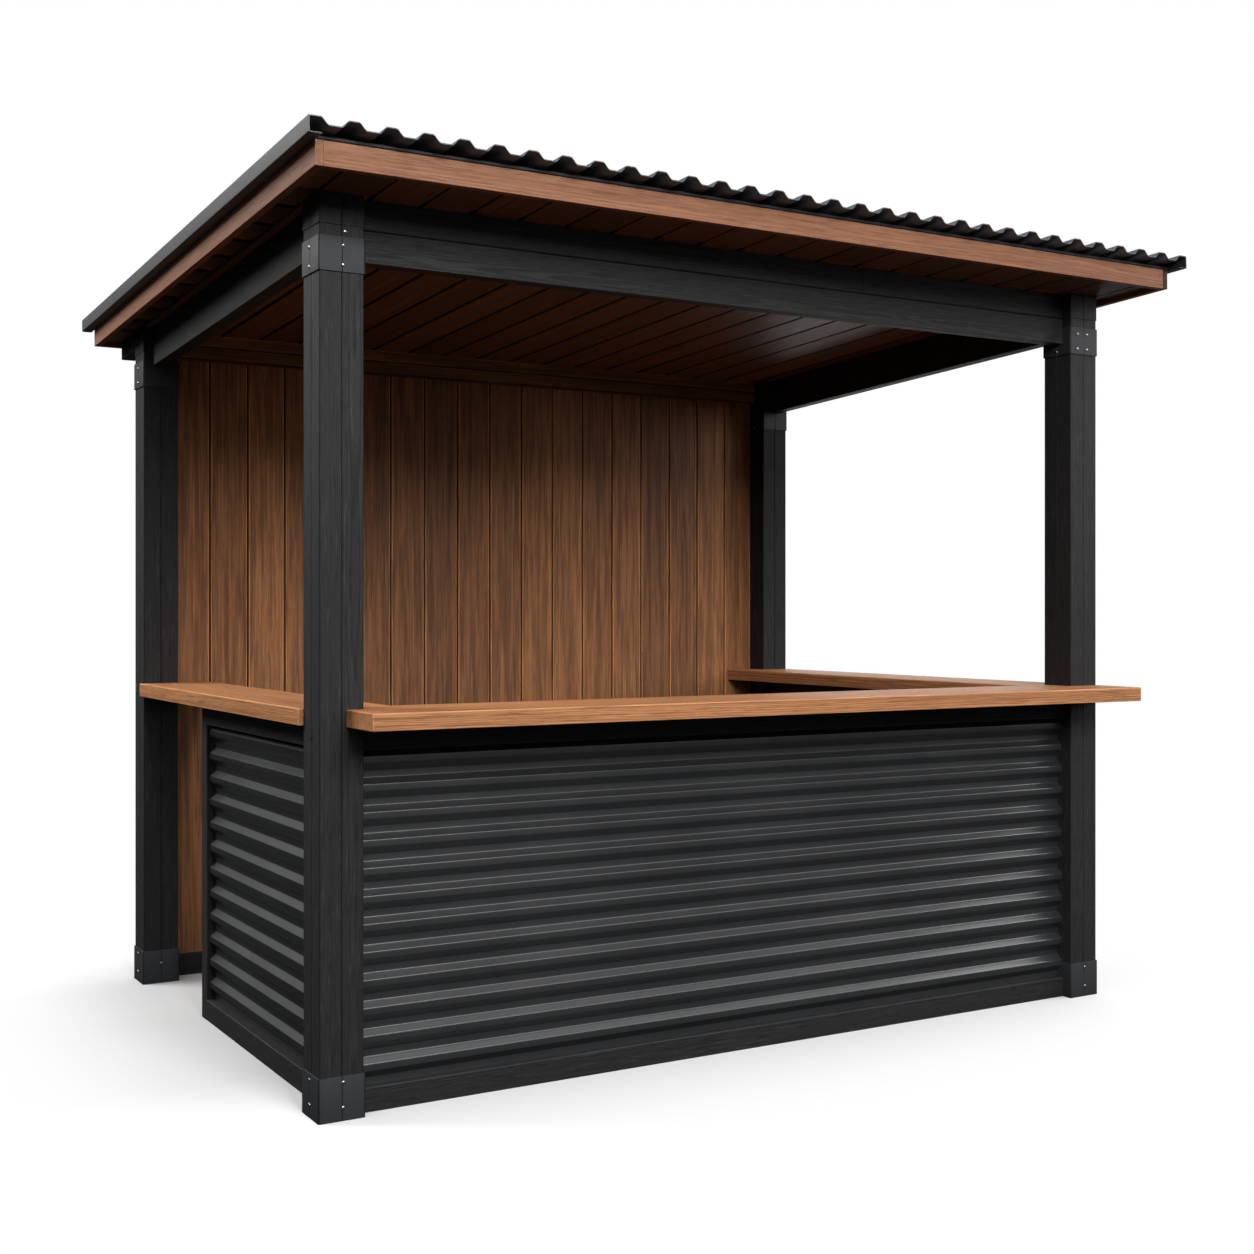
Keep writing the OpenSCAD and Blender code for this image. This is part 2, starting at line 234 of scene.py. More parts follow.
class GardenBarColours(bpy.types.PropertyGroup):
    """Colours of the finishes."""

    black_pale: colour("Black timber, pale", "Pale grain of the black timber", (0.0195, 0.0195, 0.0199))
    black_dark: colour("Black timber, dark", "Dark grain of the black timber", (0.0055, 0.0055, 0.0057))
    counter_pale: colour("Counter, pale", "Pale grain of the counters", (0.56, 0.248, 0.098))
    counter_dark: colour("Counter, dark", "Dark grain of the counters", (0.165, 0.058, 0.021))
    wall_pale: colour("Wall, pale", "Pale grain of the wall boards", (0.45, 0.187, 0.066))
    wall_dark: colour("Wall, dark", "Dark grain of the wall boards", (0.09, 0.035, 0.015))
    ceiling_pale: colour("Ceiling, pale", "Pale grain of the ceiling boards", (0.24, 0.098, 0.037))
    ceiling_dark: colour("Ceiling, dark", "Dark grain of the ceiling boards", (0.06, 0.023, 0.010))
    fascia_pale: colour("Fascia, pale", "Pale grain of the fascias and barges", (0.31, 0.137, 0.071))
    fascia_dark: colour("Fascia, dark", "Dark grain of the fascias and barges", (0.12, 0.045, 0.022))
    sleeve_steel: colour("Sleeves", "Coating of the steel sleeves", (0.0165, 0.0178, 0.0196))
    panel_coat: colour("Panels", "Coating of the ribbed panels", (0.0145, 0.0155, 0.0168))
    roof_coat: colour("Roof sheet", "Coating of the roof sheet", (0.052, 0.059, 0.067))
    trim_coat: colour("Verge trims", "Coating of the verge trims", (0.044, 0.0455, 0.048))
    bolt_zinc: colour("Bolts", "Metal of the bolt heads", (0.46, 0.46, 0.45))
    floor: colour("Floor", "Colour of the studio floor", (0.8, 0.8, 0.8))


class GardenBarStage(bpy.types.PropertyGroup):
    """Camera and light."""

    camera: vector("Camera", "Place of the camera", (-2.7922, -4.8457, 1.3041), unit="LENGTH")
    heading: amount("Heading", "Turn of the view from +Y to the right", math.radians(30.299), unit="ROTATION")
    lens: amount("Lens", "Focal length in millimetres on a 36 mm sensor", 46.178, unit="CAMERA")
    shift: vector("Shift", "Shift of the view in shares of its width", (0.00946, -0.01314))
    key_place: vector("Key light place", "Place of the key light", (-1.2, -7.0, 4.5), unit="LENGTH")
    key_power: wattage("Key light", "Power of the key light in watts", 475.0)
    key_size: length("Key light size", "Side of the square key light", 2.6)
    side_place: vector("Side light place", "Place of the side light", (-5.4, 3.0, 5.6), unit="LENGTH")
    side_power: wattage("Side light", "Power of the side light in watts", 480.0)
    side_size: length("Side light size", "Side of the square side light", 3.5)
    fill_place: vector("Fill light place", "Place of the fill light", (5.5, -2.5, 2.9), unit="LENGTH")
    fill_power: wattage("Fill light", "Power of the fill light in watts", 80.0)
    fill_size: length("Fill light size", "Side of the square fill light", 2.4)
    sheen_place: vector("Sheen light place", "Place of the sheen light", (4.5, 4.5, 1.4), unit="LENGTH")
    sheen_power: wattage("Sheen light", "Power of the light that shows in reflections alone, in watts", 70.0)
    sheen_size: length("Sheen light size", "Side of the square sheen light", 3.0)
    sky: amount("Sky", "Strength of the white surroundings overhead", 1.3)
    skyline: portion("Skyline", "Share of the sky's strength at the horizon", 0.18)
    sky_away: vector(
        "Dark side", "Direction in which the sky is darker", (-0.7, 0.7, 0.0), subtype="DIRECTION"
    )
    sky_dim: portion("Dark side share", "Share by which the sky is darker there", 0.7)
    ground: portion("Ground", "Share of the sky's strength from below", 0.04)
    floor_fade: length("Floor fade", "Distance from the bar at which the floor has faded to white", 0.7)
    # A painted shadow on the floor beside the bar's left side
    floor_painted_shadow: portion("Floor shade", "Soft shade at the left side", 0.3)
    floor_size: length("Floor size", "Side of the square floor", 120.0)


class GardenBarSettings(bpy.types.PropertyGroup):
    """All settings of the garden bar."""

    sizes: PointerProperty(type=GardenBarSizes)
    colours: PointerProperty(type=GardenBarColours)
    stage: PointerProperty(type=GardenBarStage)


# Surfaces worked out as whole arrays


class Surface:
    """Points and faces, with what the finishes read at each point: place in the grain, tone and edge."""

    def __init__(self, points, faces, grain=None, tone=None, edge=None):
        count = len(points)
        self.points = points
        self.faces = faces
        self.grain = points if grain is None else grain
        self.tone = np.full(count, 0.5) if tone is None else tone
        self.edge = np.zeros(count) if edge is None else edge


def joined(surfaces):
    """Several surfaces as one, with the numbers of the later faces moved up."""
    starts = np.cumsum([0] + [len(s.points) for s in surfaces])
    return Surface(
        np.concatenate([s.points for s in surfaces]),
        [faces + start for s, start in zip(surfaces, starts) for faces in s.faces],
        np.concatenate([s.grain for s in surfaces]),
        np.concatenate([s.tone for s in surfaces]),
        np.concatenate([s.edge for s in surfaces]),
    )


def put(name, surface, material, nodes=()):
    """Makes a surface into a piece that rides on the bar, with its finish, and that stands for some nodes."""
    mesh = bpy.data.meshes.new(name)
    corners = np.concatenate([faces.ravel() for faces in surface.faces]).astype(np.int32)
    sides = np.concatenate([np.full(len(faces), faces.shape[1]) for faces in surface.faces])
    first = np.concatenate([[0], np.cumsum(sides)[:-1]]).astype(np.int32)
    mesh.vertices.add(len(surface.points))
    mesh.vertices.foreach_set("co", surface.points.astype(np.float32).ravel())
    mesh.loops.add(len(corners))
    mesh.loops.foreach_set("vertex_index", corners)
    mesh.polygons.add(len(sides))
    mesh.polygons.foreach_set("loop_start", first)
    mesh.polygons.foreach_set("use_smooth", np.ones(len(sides), bool))
    mesh.update(calc_edges=True)
    if mesh.validate():
        raise RuntimeError(f"{name} has faces that can't be used")
    mesh.set_sharp_from_angle(angle=SHARP_ANGLE)
    for label, kind, key, values in (
        ("grain", "FLOAT_VECTOR", "vector", surface.grain),
        ("tone", "FLOAT", "value", surface.tone),
        ("edge", "FLOAT", "value", surface.edge),
    ):
        mesh.attributes.new(label, kind, "POINT").data.foreach_set(key, values.astype(np.float32).ravel())
    mesh.materials.append(material)
    piece = bpy.data.objects.new(name, mesh)
    bpy.context.scene.collection.objects.link(piece)
    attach(piece, "root")
    if nodes:
        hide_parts(*nodes)
    return piece


def dress(node, surface, slot):
    """Puts a surface in the place of one node, with the finish of its slot."""
    return put(node + "_finished", surface, finish(slot), [node])


def draws(name):
    """Random draws that belong to a name, the same in each run."""
    return np.random.default_rng([ord(letter) for letter in name])


def unit(vectors):
    """Vectors brought to length one."""
    return vectors / np.linalg.norm(vectors, axis=-1, keepdims=True)


def grid_faces(rows, columns, wrap_rows=False, wrap_columns=False):
    """Quads of a grid of points counted row by row; a wrapped direction joins its last line to its first."""
    row, column = np.meshgrid(
        np.arange(rows if wrap_rows else rows - 1),
        np.arange(columns if wrap_columns else columns - 1),
        indexing="ij",
    )
    next_row = (row + 1) % rows
    next_column = (column + 1) % columns
    quads = [
        row * columns + column,
        row * columns + next_column,
        next_row * columns + next_column,
        next_row * columns + column,
    ]
    return np.stack(quads, -1).reshape(-1, 4)


def repeated(faces, count, step):
    """The faces of one shape, repeated for count shapes of step points each."""
    return (faces[None] + step * np.arange(count)[:, None, None]).reshape(-1, faces.shape[1])


def spokes(angle):
    """Directions at some angles, as cosine and sine, and the directions square to them."""
    return np.stack([np.cos(angle), np.sin(angle)], -1), np.stack([-np.sin(angle), np.cos(angle)], -1)


def vee(width):
    """Places across a V groove: on the flat beside it, at its lip, at its bottom, and the same again."""
    half = width / 2
    return np.array([-half - FADE, -half, 0.0, half, half + FADE])[:, None]


def rounded_section(radii):
    """Rounded rectangle: an arc at each corner, and a point on the flat at either side of each arc.

    A point lies at its sign times half the size, plus its offset, so one section fits boards of any size.
    """
    spoke, tangent = spokes(QUARTERS + ARC)
    arc = np.broadcast_to(radii, 4)[:, None, None] * (spoke - CORNER_SIGNS)
    before, after = arc[:, :1] - FADE * tangent[:, :1], arc[:, -1:] + FADE * tangent[:, -1:]
    offset = np.concatenate([before, arc, after], 1)
    # Points on the arcs are marked as edges, which the finishes make paler: wear, and on timber also painted
    # highlight
    edge = np.tile([0.0] + [1.0] * len(ARC) + [0.0], (4, 1))
    return np.repeat(CORNER_SIGNS, offset.shape[1], 1), offset, edge


def shadowed(section, sides=(-1, 1)):
    """A section whose edges are dark lines of painted shade, at its lower side (-1), its upper side (1) or
    both.
    """
    sign, offset, edge = section
    return sign, offset, np.where((edge > 0) & np.isin(sign[..., 1], sides), DARK, edge)


def lined_section(upper, lower):
    """Rounded rectangle with one radius above and one below, and dark lines of painted shade along its lower
    edges.
    """
    return shadowed(rounded_section([upper, upper, lower, lower]), [-1])


def grooved_section(radius, groove):
    """Rounded square with a V groove in the middle of each side, half as deep as it is wide."""
    sign, offset, edge = rounded_section(radius)
    out, tangent = spokes(QUARTERS + QUARTER)
    depth = np.array([0.0, 0.0, -groove / 2, 0.0, 0.0])[:, None]
    cut = vee(groove) * tangent + depth * out
    return (
        np.concatenate([sign, np.repeat(out, len(depth), 1)], 1),
        np.concatenate([offset, cut], 1),
        # Painted shade: the rounded edges and the groove are drawn darker
        np.concatenate([POST_EDGE_SHADE * edge, np.tile(GROOVE_SHADE, (4, 1))], 1),
    )


def boards(draw, start, end, across, up, size, section, end_radius):
    """Straight boards: a section carried from start to end of each, its ends rounded over.

    A point is start + along * direction + sign * (half size - inset) + offset, the last two across and up.
    The grain is counted from a pith beside the board's middle line, at a random place of its own.
    """
    sign, offset, drawn = section
    sign, offset, drawn = sign.reshape(-1, 2), offset.reshape(-1, 2), drawn.ravel()
    start = np.atleast_2d(start).astype(float)
    end = np.atleast_2d(end).astype(float)
    count = len(start)
    half = np.broadcast_to(size, (count, 2)) / 2
    run = end - start
    reach = np.linalg.norm(run, axis=1)
    direction = run / reach[:, None]

    inset = np.concatenate([[end_radius + FADE], end_radius * (1 - np.sin(ARC)), [0.0]])
    back = np.concatenate([[0.0], end_radius * (1 - np.cos(ARC)), [end_radius + FADE]])
    ring_edge = np.concatenate([[0.0], np.ones(len(ARC)), [0.0]])
    inset = np.concatenate([inset, inset[::-1]])
    ring_edge = np.concatenate([ring_edge, ring_edge[::-1]])
    along = np.concatenate([np.tile(back, (count, 1)), reach[:, None] - back[::-1]], 1)

    rings, columns = len(inset), len(sign)
    flat = sign * (half[:, None] - inset[None, :, None])[:, :, None] + offset
    points = (
        start[:, None, None]
        + direction[:, None, None] * along[:, :, None, None]
        + across * flat[..., :1]
        + up * flat[..., 1:]
    )
    # Painted shade lines (below zero) stay; the rounded ends count as edges, paler from wear and painted
    # highlight
    edge = np.where(drawn < 0, drawn, np.maximum(ring_edge[:, None], drawn))
    turn = draw.uniform(0, 2 * np.pi, count)
    away = draw.uniform(*PITH_AWAY, count)
    pith = np.stack([draw.uniform(0, PITH_SHIFT, count), away * np.cos(turn), away * np.sin(turn)], -1)
    grain = np.concatenate([np.broadcast_to(along[:, :, None, None], flat[..., :1].shape), flat], -1)
    grain = grain + pith[:, None, None]

    skin = grid_faces(rings, columns, wrap_columns=True)
    first_end = np.arange(columns)[None, ::-1]
    last_end = np.arange(columns)[None] + (rings - 1) * columns
    faces = [repeated(part, count, rings * columns) for part in (skin, first_end, last_end)]
    if np.dot(np.cross(across, up), direction[0]) < 0:
        faces = [part[:, ::-1] for part in faces]
    return Surface(
        points.reshape(-1, 3),
        faces,
        grain.reshape(-1, 3),
        np.repeat(draw.random(count), rings * columns),
        np.tile(edge.ravel(), count),
    )


def straight_board(draw, corners, axis, section, end_radius):
    """One board that fills an upright box, with its grain along one axis of the frame."""
    middle = corners.mean(0)
    start, end = middle.copy(), middle.copy()
    start[axis], end[axis] = corners[:, axis]
    across, up = np.delete(np.eye(3), axis, 0)
    size = np.delete(corners[1] - corners[0], axis)
    return boards(draw, start, end, across, up, size, section, end_radius)


def level_board(node, axis, section, end_radius):
    """One board that fills the box of a node."""
    return straight_board(draws(node), box(node), axis, section, end_radius)


def roof_boards(draw, node_slab, edges, axis, gap, section, end_radius):
    """Boards side by side that lie along the roof, sheared so that their sides and ends stay upright.

    The boards run along X or down the slope, and the edges are the places between them, counted across.
    """
    low, high = node_slab
    middle = (edges[:-1] + edges[1:]) / 2
    level = (low[2] + high[2]) / 2
    width = np.diff(edges) - gap
    size = np.stack([width, np.full(len(width), high[2] - low[2])], -1)
    if axis == 0:
        start = np.stack([np.full(len(middle), low[0]), middle, ceiling_height(middle) + level], -1)
        end = start + (high[0] - low[0]) * X_AXIS
        across = LEVEL_ACROSS
    else:
        start = np.stack([middle, np.full(len(middle), low[1]), np.full(len(middle), level)], -1)
        start[:, 2] += ceiling_height(low[1])
        end = start + (high[1] - low[1]) * LEVEL_ACROSS
        across = X_AXIS
    return boards(draw, start, end, across, Z_AXIS, size, section, end_radius)


def sloped_boards(node, axis, section, end_radius, pairs=None):
    """Boards as thick as a node along the roof, between pairs of edges, or one as wide as the node."""
    place, draw = slab(node), draws(node)
    pairs = [place[:, 1 - axis]] if pairs is None else np.array(pairs)
    return joined([roof_boards(draw, place, pair, axis, 0.0, section, end_radius) for pair in pairs])


def tongues(draw, node_slab):
    """The tongues between boards, as one thin slab in the middle of their thickness, drawn dark as painted
    shade.
    """
    thin = node_slab.copy()
    low, high = node_slab[:, 2]
    reach = TONGUE_SHARE * (high - low) / 2
    thin[:, 2] = (low + high) / 2 - reach, (low + high) / 2 + reach
    infill = roof_boards(draw, thin, thin[:, 0], 1, TONGUE_INSET, rounded_section(TONGUE_ARRIS), TONGUE_END)
    # Painted shade seen through the gaps between the boards
    infill.edge[:] = DARK
    return infill


def cuts(low, high, pitch, origin):
    """Places between boards of one pitch, counted from an origin, within a range and at its ends."""
    first, last = np.ceil((low - origin) / pitch), np.floor((high - origin) / pitch)
    inner = origin + pitch * np.arange(first, last + 1)
    inner = inner[(inner > low + SLIVER * pitch) & (inner < high - SLIVER * pitch)]
    return np.concatenate([[low], inner, [high]])


def rounded_bends(corners, radius):
    """An open line with each inner corner replaced by a curve, a quadratic from one side to the other."""
    corner = corners[1:-1]
    to_before = unit(corners[:-2] - corner)
    to_after = unit(corners[2:] - corner)
    half_angle = np.arccos(np.clip((to_before * to_after).sum(-1), -1, 1)) / 2
    reach = (radius / np.tan(half_angle))[:, None]
    begin, finish_at = corner + reach * to_before, corner + reach * to_after
    t = np.linspace(0, 1, BEND_STEPS)[:, None]
    curve = (1 - t) ** 2 * begin[:, None] + 2 * t * (1 - t) * corner[:, None] + t**2 * finish_at[:, None]
    return np.concatenate([corners[:1], curve.reshape(-1, 2), corners[-1:]])


def offset_line(line, distance):
    """A line moved to its left by a distance, square to its own direction at each point."""
    tangent = unit(np.gradient(line, axis=0))
    return line + distance * np.stack([-tangent[:, 1], tangent[:, 0]], -1)


def sheet(one_side, other_side, start, end, across, up):
    """Thin sheet: the band between two lines of points, carried straight from start to end and closed."""
    outline = np.concatenate([one_side, other_side[::-1]])
    count = len(outline)
    flat = outline[:, :1] * across + outline[:, 1:] * up
    i = np.arange(len(one_side) - 1)
    cap = np.stack([i, i + 1, count - 2 - i, count - 1 - i], -1)
    faces = [grid_faces(2, count, wrap_columns=True), cap[:, ::-1], cap + count]
    following = np.roll(outline, -1, 0)
    turning = (outline[:, 0] * following[:, 1] - outline[:, 1] * following[:, 0]).sum()
    if turning * np.dot(np.cross(across, up), end - start) < 0:
        faces = [part[:, ::-1] for part in faces]
    return Surface(np.concatenate([start + flat, end + flat]), faces)


def roof_metal_sheet(one_side, other_side, front, back):
    """Thin sheet carried down the slope of the roof."""
    start, end = SLOPE_ORIGIN + front * SLOPE_ALONG, SLOPE_ORIGIN + back * SLOPE_ALONG
    return sheet(one_side, other_side, start, end, X_AXIS, SLOPE_NORMAL)


def domes(places, normals, radius, height, sides):
    """Low round heads: a profile from the rim up to the crown, turned round the normal of each place."""
    places, normals = np.atleast_2d(places), unit(np.atleast_2d(normals))
    helper = np.where(np.abs(normals[:, 2:]) > 0.7, X_AXIS, Z_AXIS)
    first = unit(np.cross(helper, normals))
    second = np.cross(normals, first)
    angle = 2 * np.pi * np.arange(sides)[:, None] / sides
    circle = np.cos(angle) * first[:, None] + np.sin(angle) * second[:, None]
    points = (
        places[:, None, None]
        + radius * HEAD_PROFILE[:, :1, None] * circle[:, None]
        + height * HEAD_PROFILE[:, 1:, None] * normals[:, None, None]
    )
    rows = len(HEAD_PROFILE)
    parts = [
        grid_faces(rows, sides, wrap_columns=True),
        np.arange(sides)[None, ::-1],
        np.arange(sides)[None] + (rows - 1) * sides,
    ]
    return Surface(points.reshape(-1, 3), [repeated(part, len(places), rows * sides) for part in parts])


def sleeve(centre, half, low, high, thickness, fold, seam, rim):
    """Square tube of folded plate: an outline with round folds, and the plate's section all along it.

    A point lies at sign * (half - fold) + (fold - depth) * spoke, with depth counted inwards from outside.
    A shallow V runs down the middle of each plate, where its two halves meet.
    """
    spoke, tangent = spokes(QUARTERS + ARC[[0, 0, 1, 2, 3, 3]])
    slide = FADE * np.array([-1.0, 0, 0, 0, 0, 1.0])[:, None]
    out, aside = spokes(QUARTERS + QUARTER + np.zeros(5))
    corner = CORNER_SIGNS * (half - fold) + slide * tangent
    middle = out * (half - fold) + vee(seam) * aside
    base = np.concatenate([corner, middle], 1).reshape(-1, 1, 2)
    spoke = np.concatenate([spoke, out], 1).reshape(-1, 1, 2)
    dip = seam / 2 * np.tile(SLEEVE_DIP, 4)

    near = RIM_MIDDLE * rim
    depth = np.array([0, 0, 0, near, rim, thickness, thickness, rim, near, 0])
    up = [low + rim, low + 2 * rim, high - rim, high - near, high]
    height = np.array([*up, high, low, low, low + near, low + rim / 2])
    sunk = depth + dip[:, None] * (depth < thickness)
    flat = base + (fold - sunk)[..., None] * spoke + centre
    rows, columns = flat.shape[:2]
    points = np.concatenate([flat, np.broadcast_to(height[:, None], (rows, columns, 1))], -1)
    # Painted shade darkens the folds and the seams; points on the rims are marked as edges, which turn paler
    shade = np.tile(SLEEVE_SHADE, 4)[:, None]
    edge = np.where(shade < 0, shade, SLEEVE_RIM)
    faces = grid_faces(rows, columns, wrap_rows=True, wrap_columns=True)[:, ::-1]
    return Surface(points.reshape(-1, 3), [faces], edge=edge.ravel())


# Finishes written as expressions on sockets

WHITE = (1.0, 1.0, 1.0)
BLACK = (0.0, 0.0, 0.0)


def operators(operation):
    """The two forms of one arithmetic operator: with the socket first, and with the socket second."""
    return (
        lambda value, other: value.graph.math(operation, value, other),
        lambda value, other: value.graph.math(operation, other, value),
    )


def times(factor, colour_value):
    """A plain colour made lighter or darker."""
    return tuple(factor * c for c in colour_value)


class Value:
    """A socket of a finish; arithmetic on it adds Math nodes."""

    def __init__(self, graph, socket):
        self.graph = graph
        self.socket = socket

    def math(self, operation, *others):
        """A Math node with this value first."""
        return self.graph.math(operation, self, *others)

    __add__, __radd__ = operators("ADD")
    __sub__, __rsub__ = operators("SUBTRACT")
    __mul__, __rmul__ = operators("MULTIPLY")
    __truediv__, __rtruediv__ = operators("DIVIDE")


class Graph:
    """A node tree whose nodes are made one at a time and joined by their values."""

    def __init__(self, tree):
        self.tree = tree

    def feed(self, socket, value):
        """Links a value to a socket, or sets the socket to a plain number, colour or vector."""
        if isinstance(value, Value):
            self.tree.links.new(value.socket, socket)
        else:
            socket.default_value = value

    def node(self, kind, settings, inputs, output=0):
        """Any node: its settings first, then the values or links of its sockets. Gives one of its outputs."""
        made = self.tree.nodes.new(kind)
        for key, value in settings.items():
            setattr(made, key, value)
        for key, value in inputs.items():
            self.feed(made.inputs[key], value)
        return Value(self, made.outputs[output])

    def math(self, operation, *values):
        """A Math node."""
        return self.node("ShaderNodeMath", {"operation": operation}, dict(enumerate(values)))

    def vector(self, operation, *values):
        """A Vector Math node that gives a vector."""
        return self.node("ShaderNodeVectorMath", {"operation": operation}, dict(enumerate(values)))

    def scaled(self, colour_value, share):
        """A colour times a number."""
        return self.node("ShaderNodeVectorMath", {"operation": "SCALE"}, {0: colour_value, "Scale": share})

    def measured(self, operation, *values):
        """A Vector Math node that gives a number."""
        inputs = dict(enumerate(values))
        return self.node("ShaderNodeVectorMath", {"operation": operation}, inputs, "Value")

    def far(self, vector):
        """Length of a vector."""
        return self.measured("LENGTH", vector)

    def mixed(self, factor, first, second):
        """From the first colour to the second one, by a factor that is held between 0 and 1."""
        first, second = (c if isinstance(c, Value) else (*c, 1.0) for c in (first, second))
        settings = {"data_type": "RGBA", "clamp_factor": True}
        return self.node("ShaderNodeMix", settings, {0: factor, 6: first, 7: second}, 2)

    def smooth(self, value, low, high):
        """Eased step: 0 up to low, 1 from high on."""
        settings = {"interpolation_type": "SMOOTHSTEP"}
        return self.node("ShaderNodeMapRange", settings, {0: value, 1: low, 2: high, 3: 0.0, 4: 1.0})

    def noise(self, vector, stretch, detail=2.0, roughness=0.5):
        """Noise with a number of waves per metre along each axis."""
        stretched = self.vector("MULTIPLY", vector, stretch)
        inputs = {"Vector": stretched, "Scale": 1.0, "Detail": detail, "Roughness": roughness}
        return self.node("ShaderNodeTexNoise", {"noise_dimensions": "3D"}, inputs)

    def attribute(self, name, output):
        """What the points of a piece carry under a name."""
        return self.node("ShaderNodeAttribute", {"attribute_name": name}, {}, output)

    def place(self):
        """Place in the axes of the piece."""
        return self.node("ShaderNodeTexCoord", {}, {}, "Object")

    def bump(self, height, depth):
        """Normal of a surface that is raised by a height, in shares of a depth in metres."""
        return self.node("ShaderNodeBump", {}, {"Height": height, "Distance": depth, "Strength": 1.0})


class Finish(Graph):
    """A material built round one Principled shader."""

    def __init__(self, name):
        self.material = bpy.data.materials.new(name)
        self.material.use_nodes = True
        super().__init__(self.material.node_tree)
        self.shader = self.tree.nodes["Principled BSDF"]

    def done(self, base_colour, roughness, normal, **constants):
        """Joins the values to the shader, sets what is the same all over, and gives the material."""
        self.feed(self.shader.inputs["Base Color"], base_colour)
        self.feed(self.shader.inputs["Roughness"], roughness)
        self.feed(self.shader.inputs["Normal"], normal)
        for key, value in constants.items():
            self.shader.inputs[key.replace("_", " ")].default_value = value
        return self.material


# Knots: one may lie in each cell, in cells per metre along the board and across it
KNOT_CELLS = (1.6, 7.4, 0.0)
KNOT_STEP = (1 / KNOT_CELLS[0], 1 / KNOT_CELLS[1], 0.0)
KNOT_SIZE = 0.008
KNOT_STRETCH = (0.7, 1.0, 0.0)
SWIRL_STRETCH = (0.28, 1.0, 0.0)
# Marks of the timber, in waves per metre along the grain and across it, and where two of them are moved to
WOBBLE = (0.9, 8.0, 8.0)
FIBRES = (4.0, 380.0, 380.0)
STREAKS = (0.5, 55.0, 55.0)
PORES = (14.0, 700.0, 700.0)
CLOUDS = (2.4, 42.0, 42.0)
FLECKS_ACROSS = 170.0
GLEAMS_ACROSS = 150.0
GLEAM_SHIFT = (7.0, 0.0, 0.0)
CLOUD_SHIFT = (3.0, 0.0, 0.0)
# What a board of dark tone is multiplied by, how far rings wander, and how deep the grain is
DARK_TONE = (0.42, 0.40, 0.45)
RING_WANDER = 0.02
GRAIN_DEPTH = 0.0005


def timber(
    name, pale, dark, ring=0.0045, rings=0.4, knots=0.2, flecks=0.5, fleck_run=11.0, bright=1.35, clouds=0.0,
    wear_and_highlight=0.35, tones=0.45, gloss=0.6,
):
    """Timber cut from a solid: rings round the pith, bent round knots, with fibres, streaks and pores."""
    f = Finish(name)
    grain, tone, edge = f.attribute("grain", "Vector"), f.attribute("tone", "Fac"), f.attribute("edge", "Fac")

    cells = f.vector("MULTIPLY", grain, KNOT_CELLS)
    cell = {"voronoi_dimensions": "2D", "feature": "F1"}
    middle = f.node("ShaderNodeTexVoronoi", cell, {"Vector": cells, "Scale": 1.0}, "Position")
    lot = f.node("ShaderNodeTexVoronoi", cell, {"Vector": cells, "Scale": 1.0}, "Color")
    lot = f.node("ShaderNodeSeparateColor", {}, {0: lot}, 0)
    away = f.vector("MULTIPLY", f.vector("SUBTRACT", cells, middle), KNOT_STEP)
    chosen = lot.math("LESS_THAN", knots)
    knot_size = KNOT_SIZE * (0.35 + 0.65 * lot / knots)
    from_knot = f.far(f.vector("MULTIPLY", away, KNOT_STRETCH))
    eye = (1 - f.smooth(from_knot, knot_size * 0.55, knot_size)) * chosen
    from_swirl = f.far(f.vector("MULTIPLY", away, SWIRL_STRETCH))
    swirl = (1 - f.smooth(from_swirl, 0.0, 4 * KNOT_SIZE)) * chosen

    wobble = f.noise(grain, WOBBLE, 3.0) - 0.5
    radius = f.far(f.vector("MULTIPLY", grain, (0.0, 1.0, 1.0)))
    turns = (radius + RING_WANDER * wobble + 1.2 * KNOT_SIZE * swirl) / ring
    phase = turns.math("FRACT")
    late = f.smooth(phase, 0.2, 0.9) * (1 - f.smooth(phase, 0.92, 1.0))
    fibre = f.noise(grain, FIBRES, 3.0, 0.65)
    streak = f.smooth(f.noise(grain, STREAKS, 4.0, 0.7), 0.3, 0.7)
    fleck_waves = (fleck_run, FLECKS_ACROSS, FLECKS_ACROSS)
    fleck = f.smooth(f.noise(grain, fleck_waves, 4.0, 0.65), 0.5, 0.66)
    gleam_waves = (fleck_run, GLEAMS_ACROSS, GLEAMS_ACROSS)
    gleam = f.smooth(f.noise(f.vector("ADD", grain, GLEAM_SHIFT), gleam_waves, 3.0, 0.6), 0.55, 0.75)
    pore = f.smooth(f.noise(grain, PORES, 1.0), 0.62, 0.72)
    cloud = f.smooth(f.noise(f.vector("ADD", grain, CLOUD_SHIFT), CLOUDS, 3.0, 0.6), 0.42, 0.62)

    middling = tuple(0.55 * a + 0.45 * b for a, b in zip(pale, dark))
    brightest = times(bright, pale)
    body = f.mixed(streak, middling, pale)
    body = f.mixed(clouds * cloud, body, times(1.2, dark))
    body = f.mixed(late * rings, body, dark)
    body = f.mixed(pore * 0.55, body, dark)
    body = f.mixed(flecks * fleck, body, dark)
    body = f.mixed(0.6 * flecks * gleam, body, brightest)
    body = f.mixed(tones * (1 - tone), body, f.vector("MULTIPLY", body, DARK_TONE))
    body = f.scaled(body, 0.6 + 0.8 * fibre)
    body = f.mixed(0.9 * eye, body, times(0.45, dark))
    # Edges turn paler, partly from wear and partly as a painted highlight on the arrises
    body = f.mixed(edge * f.smooth(fibre, 0.3, 0.7) * wear_and_highlight, body, brightest)
    # Negative edges turn dark: painted shade in joints, grooves and gaps
    body = f.mixed(-0.9 * edge, body, BLACK)
    rough = gloss + 0.16 * (fibre - 0.5) + 0.1 * late
    height = 0.7 * fibre - 0.45 * late - 0.6 * pore + 0.3 * eye
    return f.done(body, rough, f.bump(height, GRAIN_DEPTH), Specular_IOR_Level=0.3)


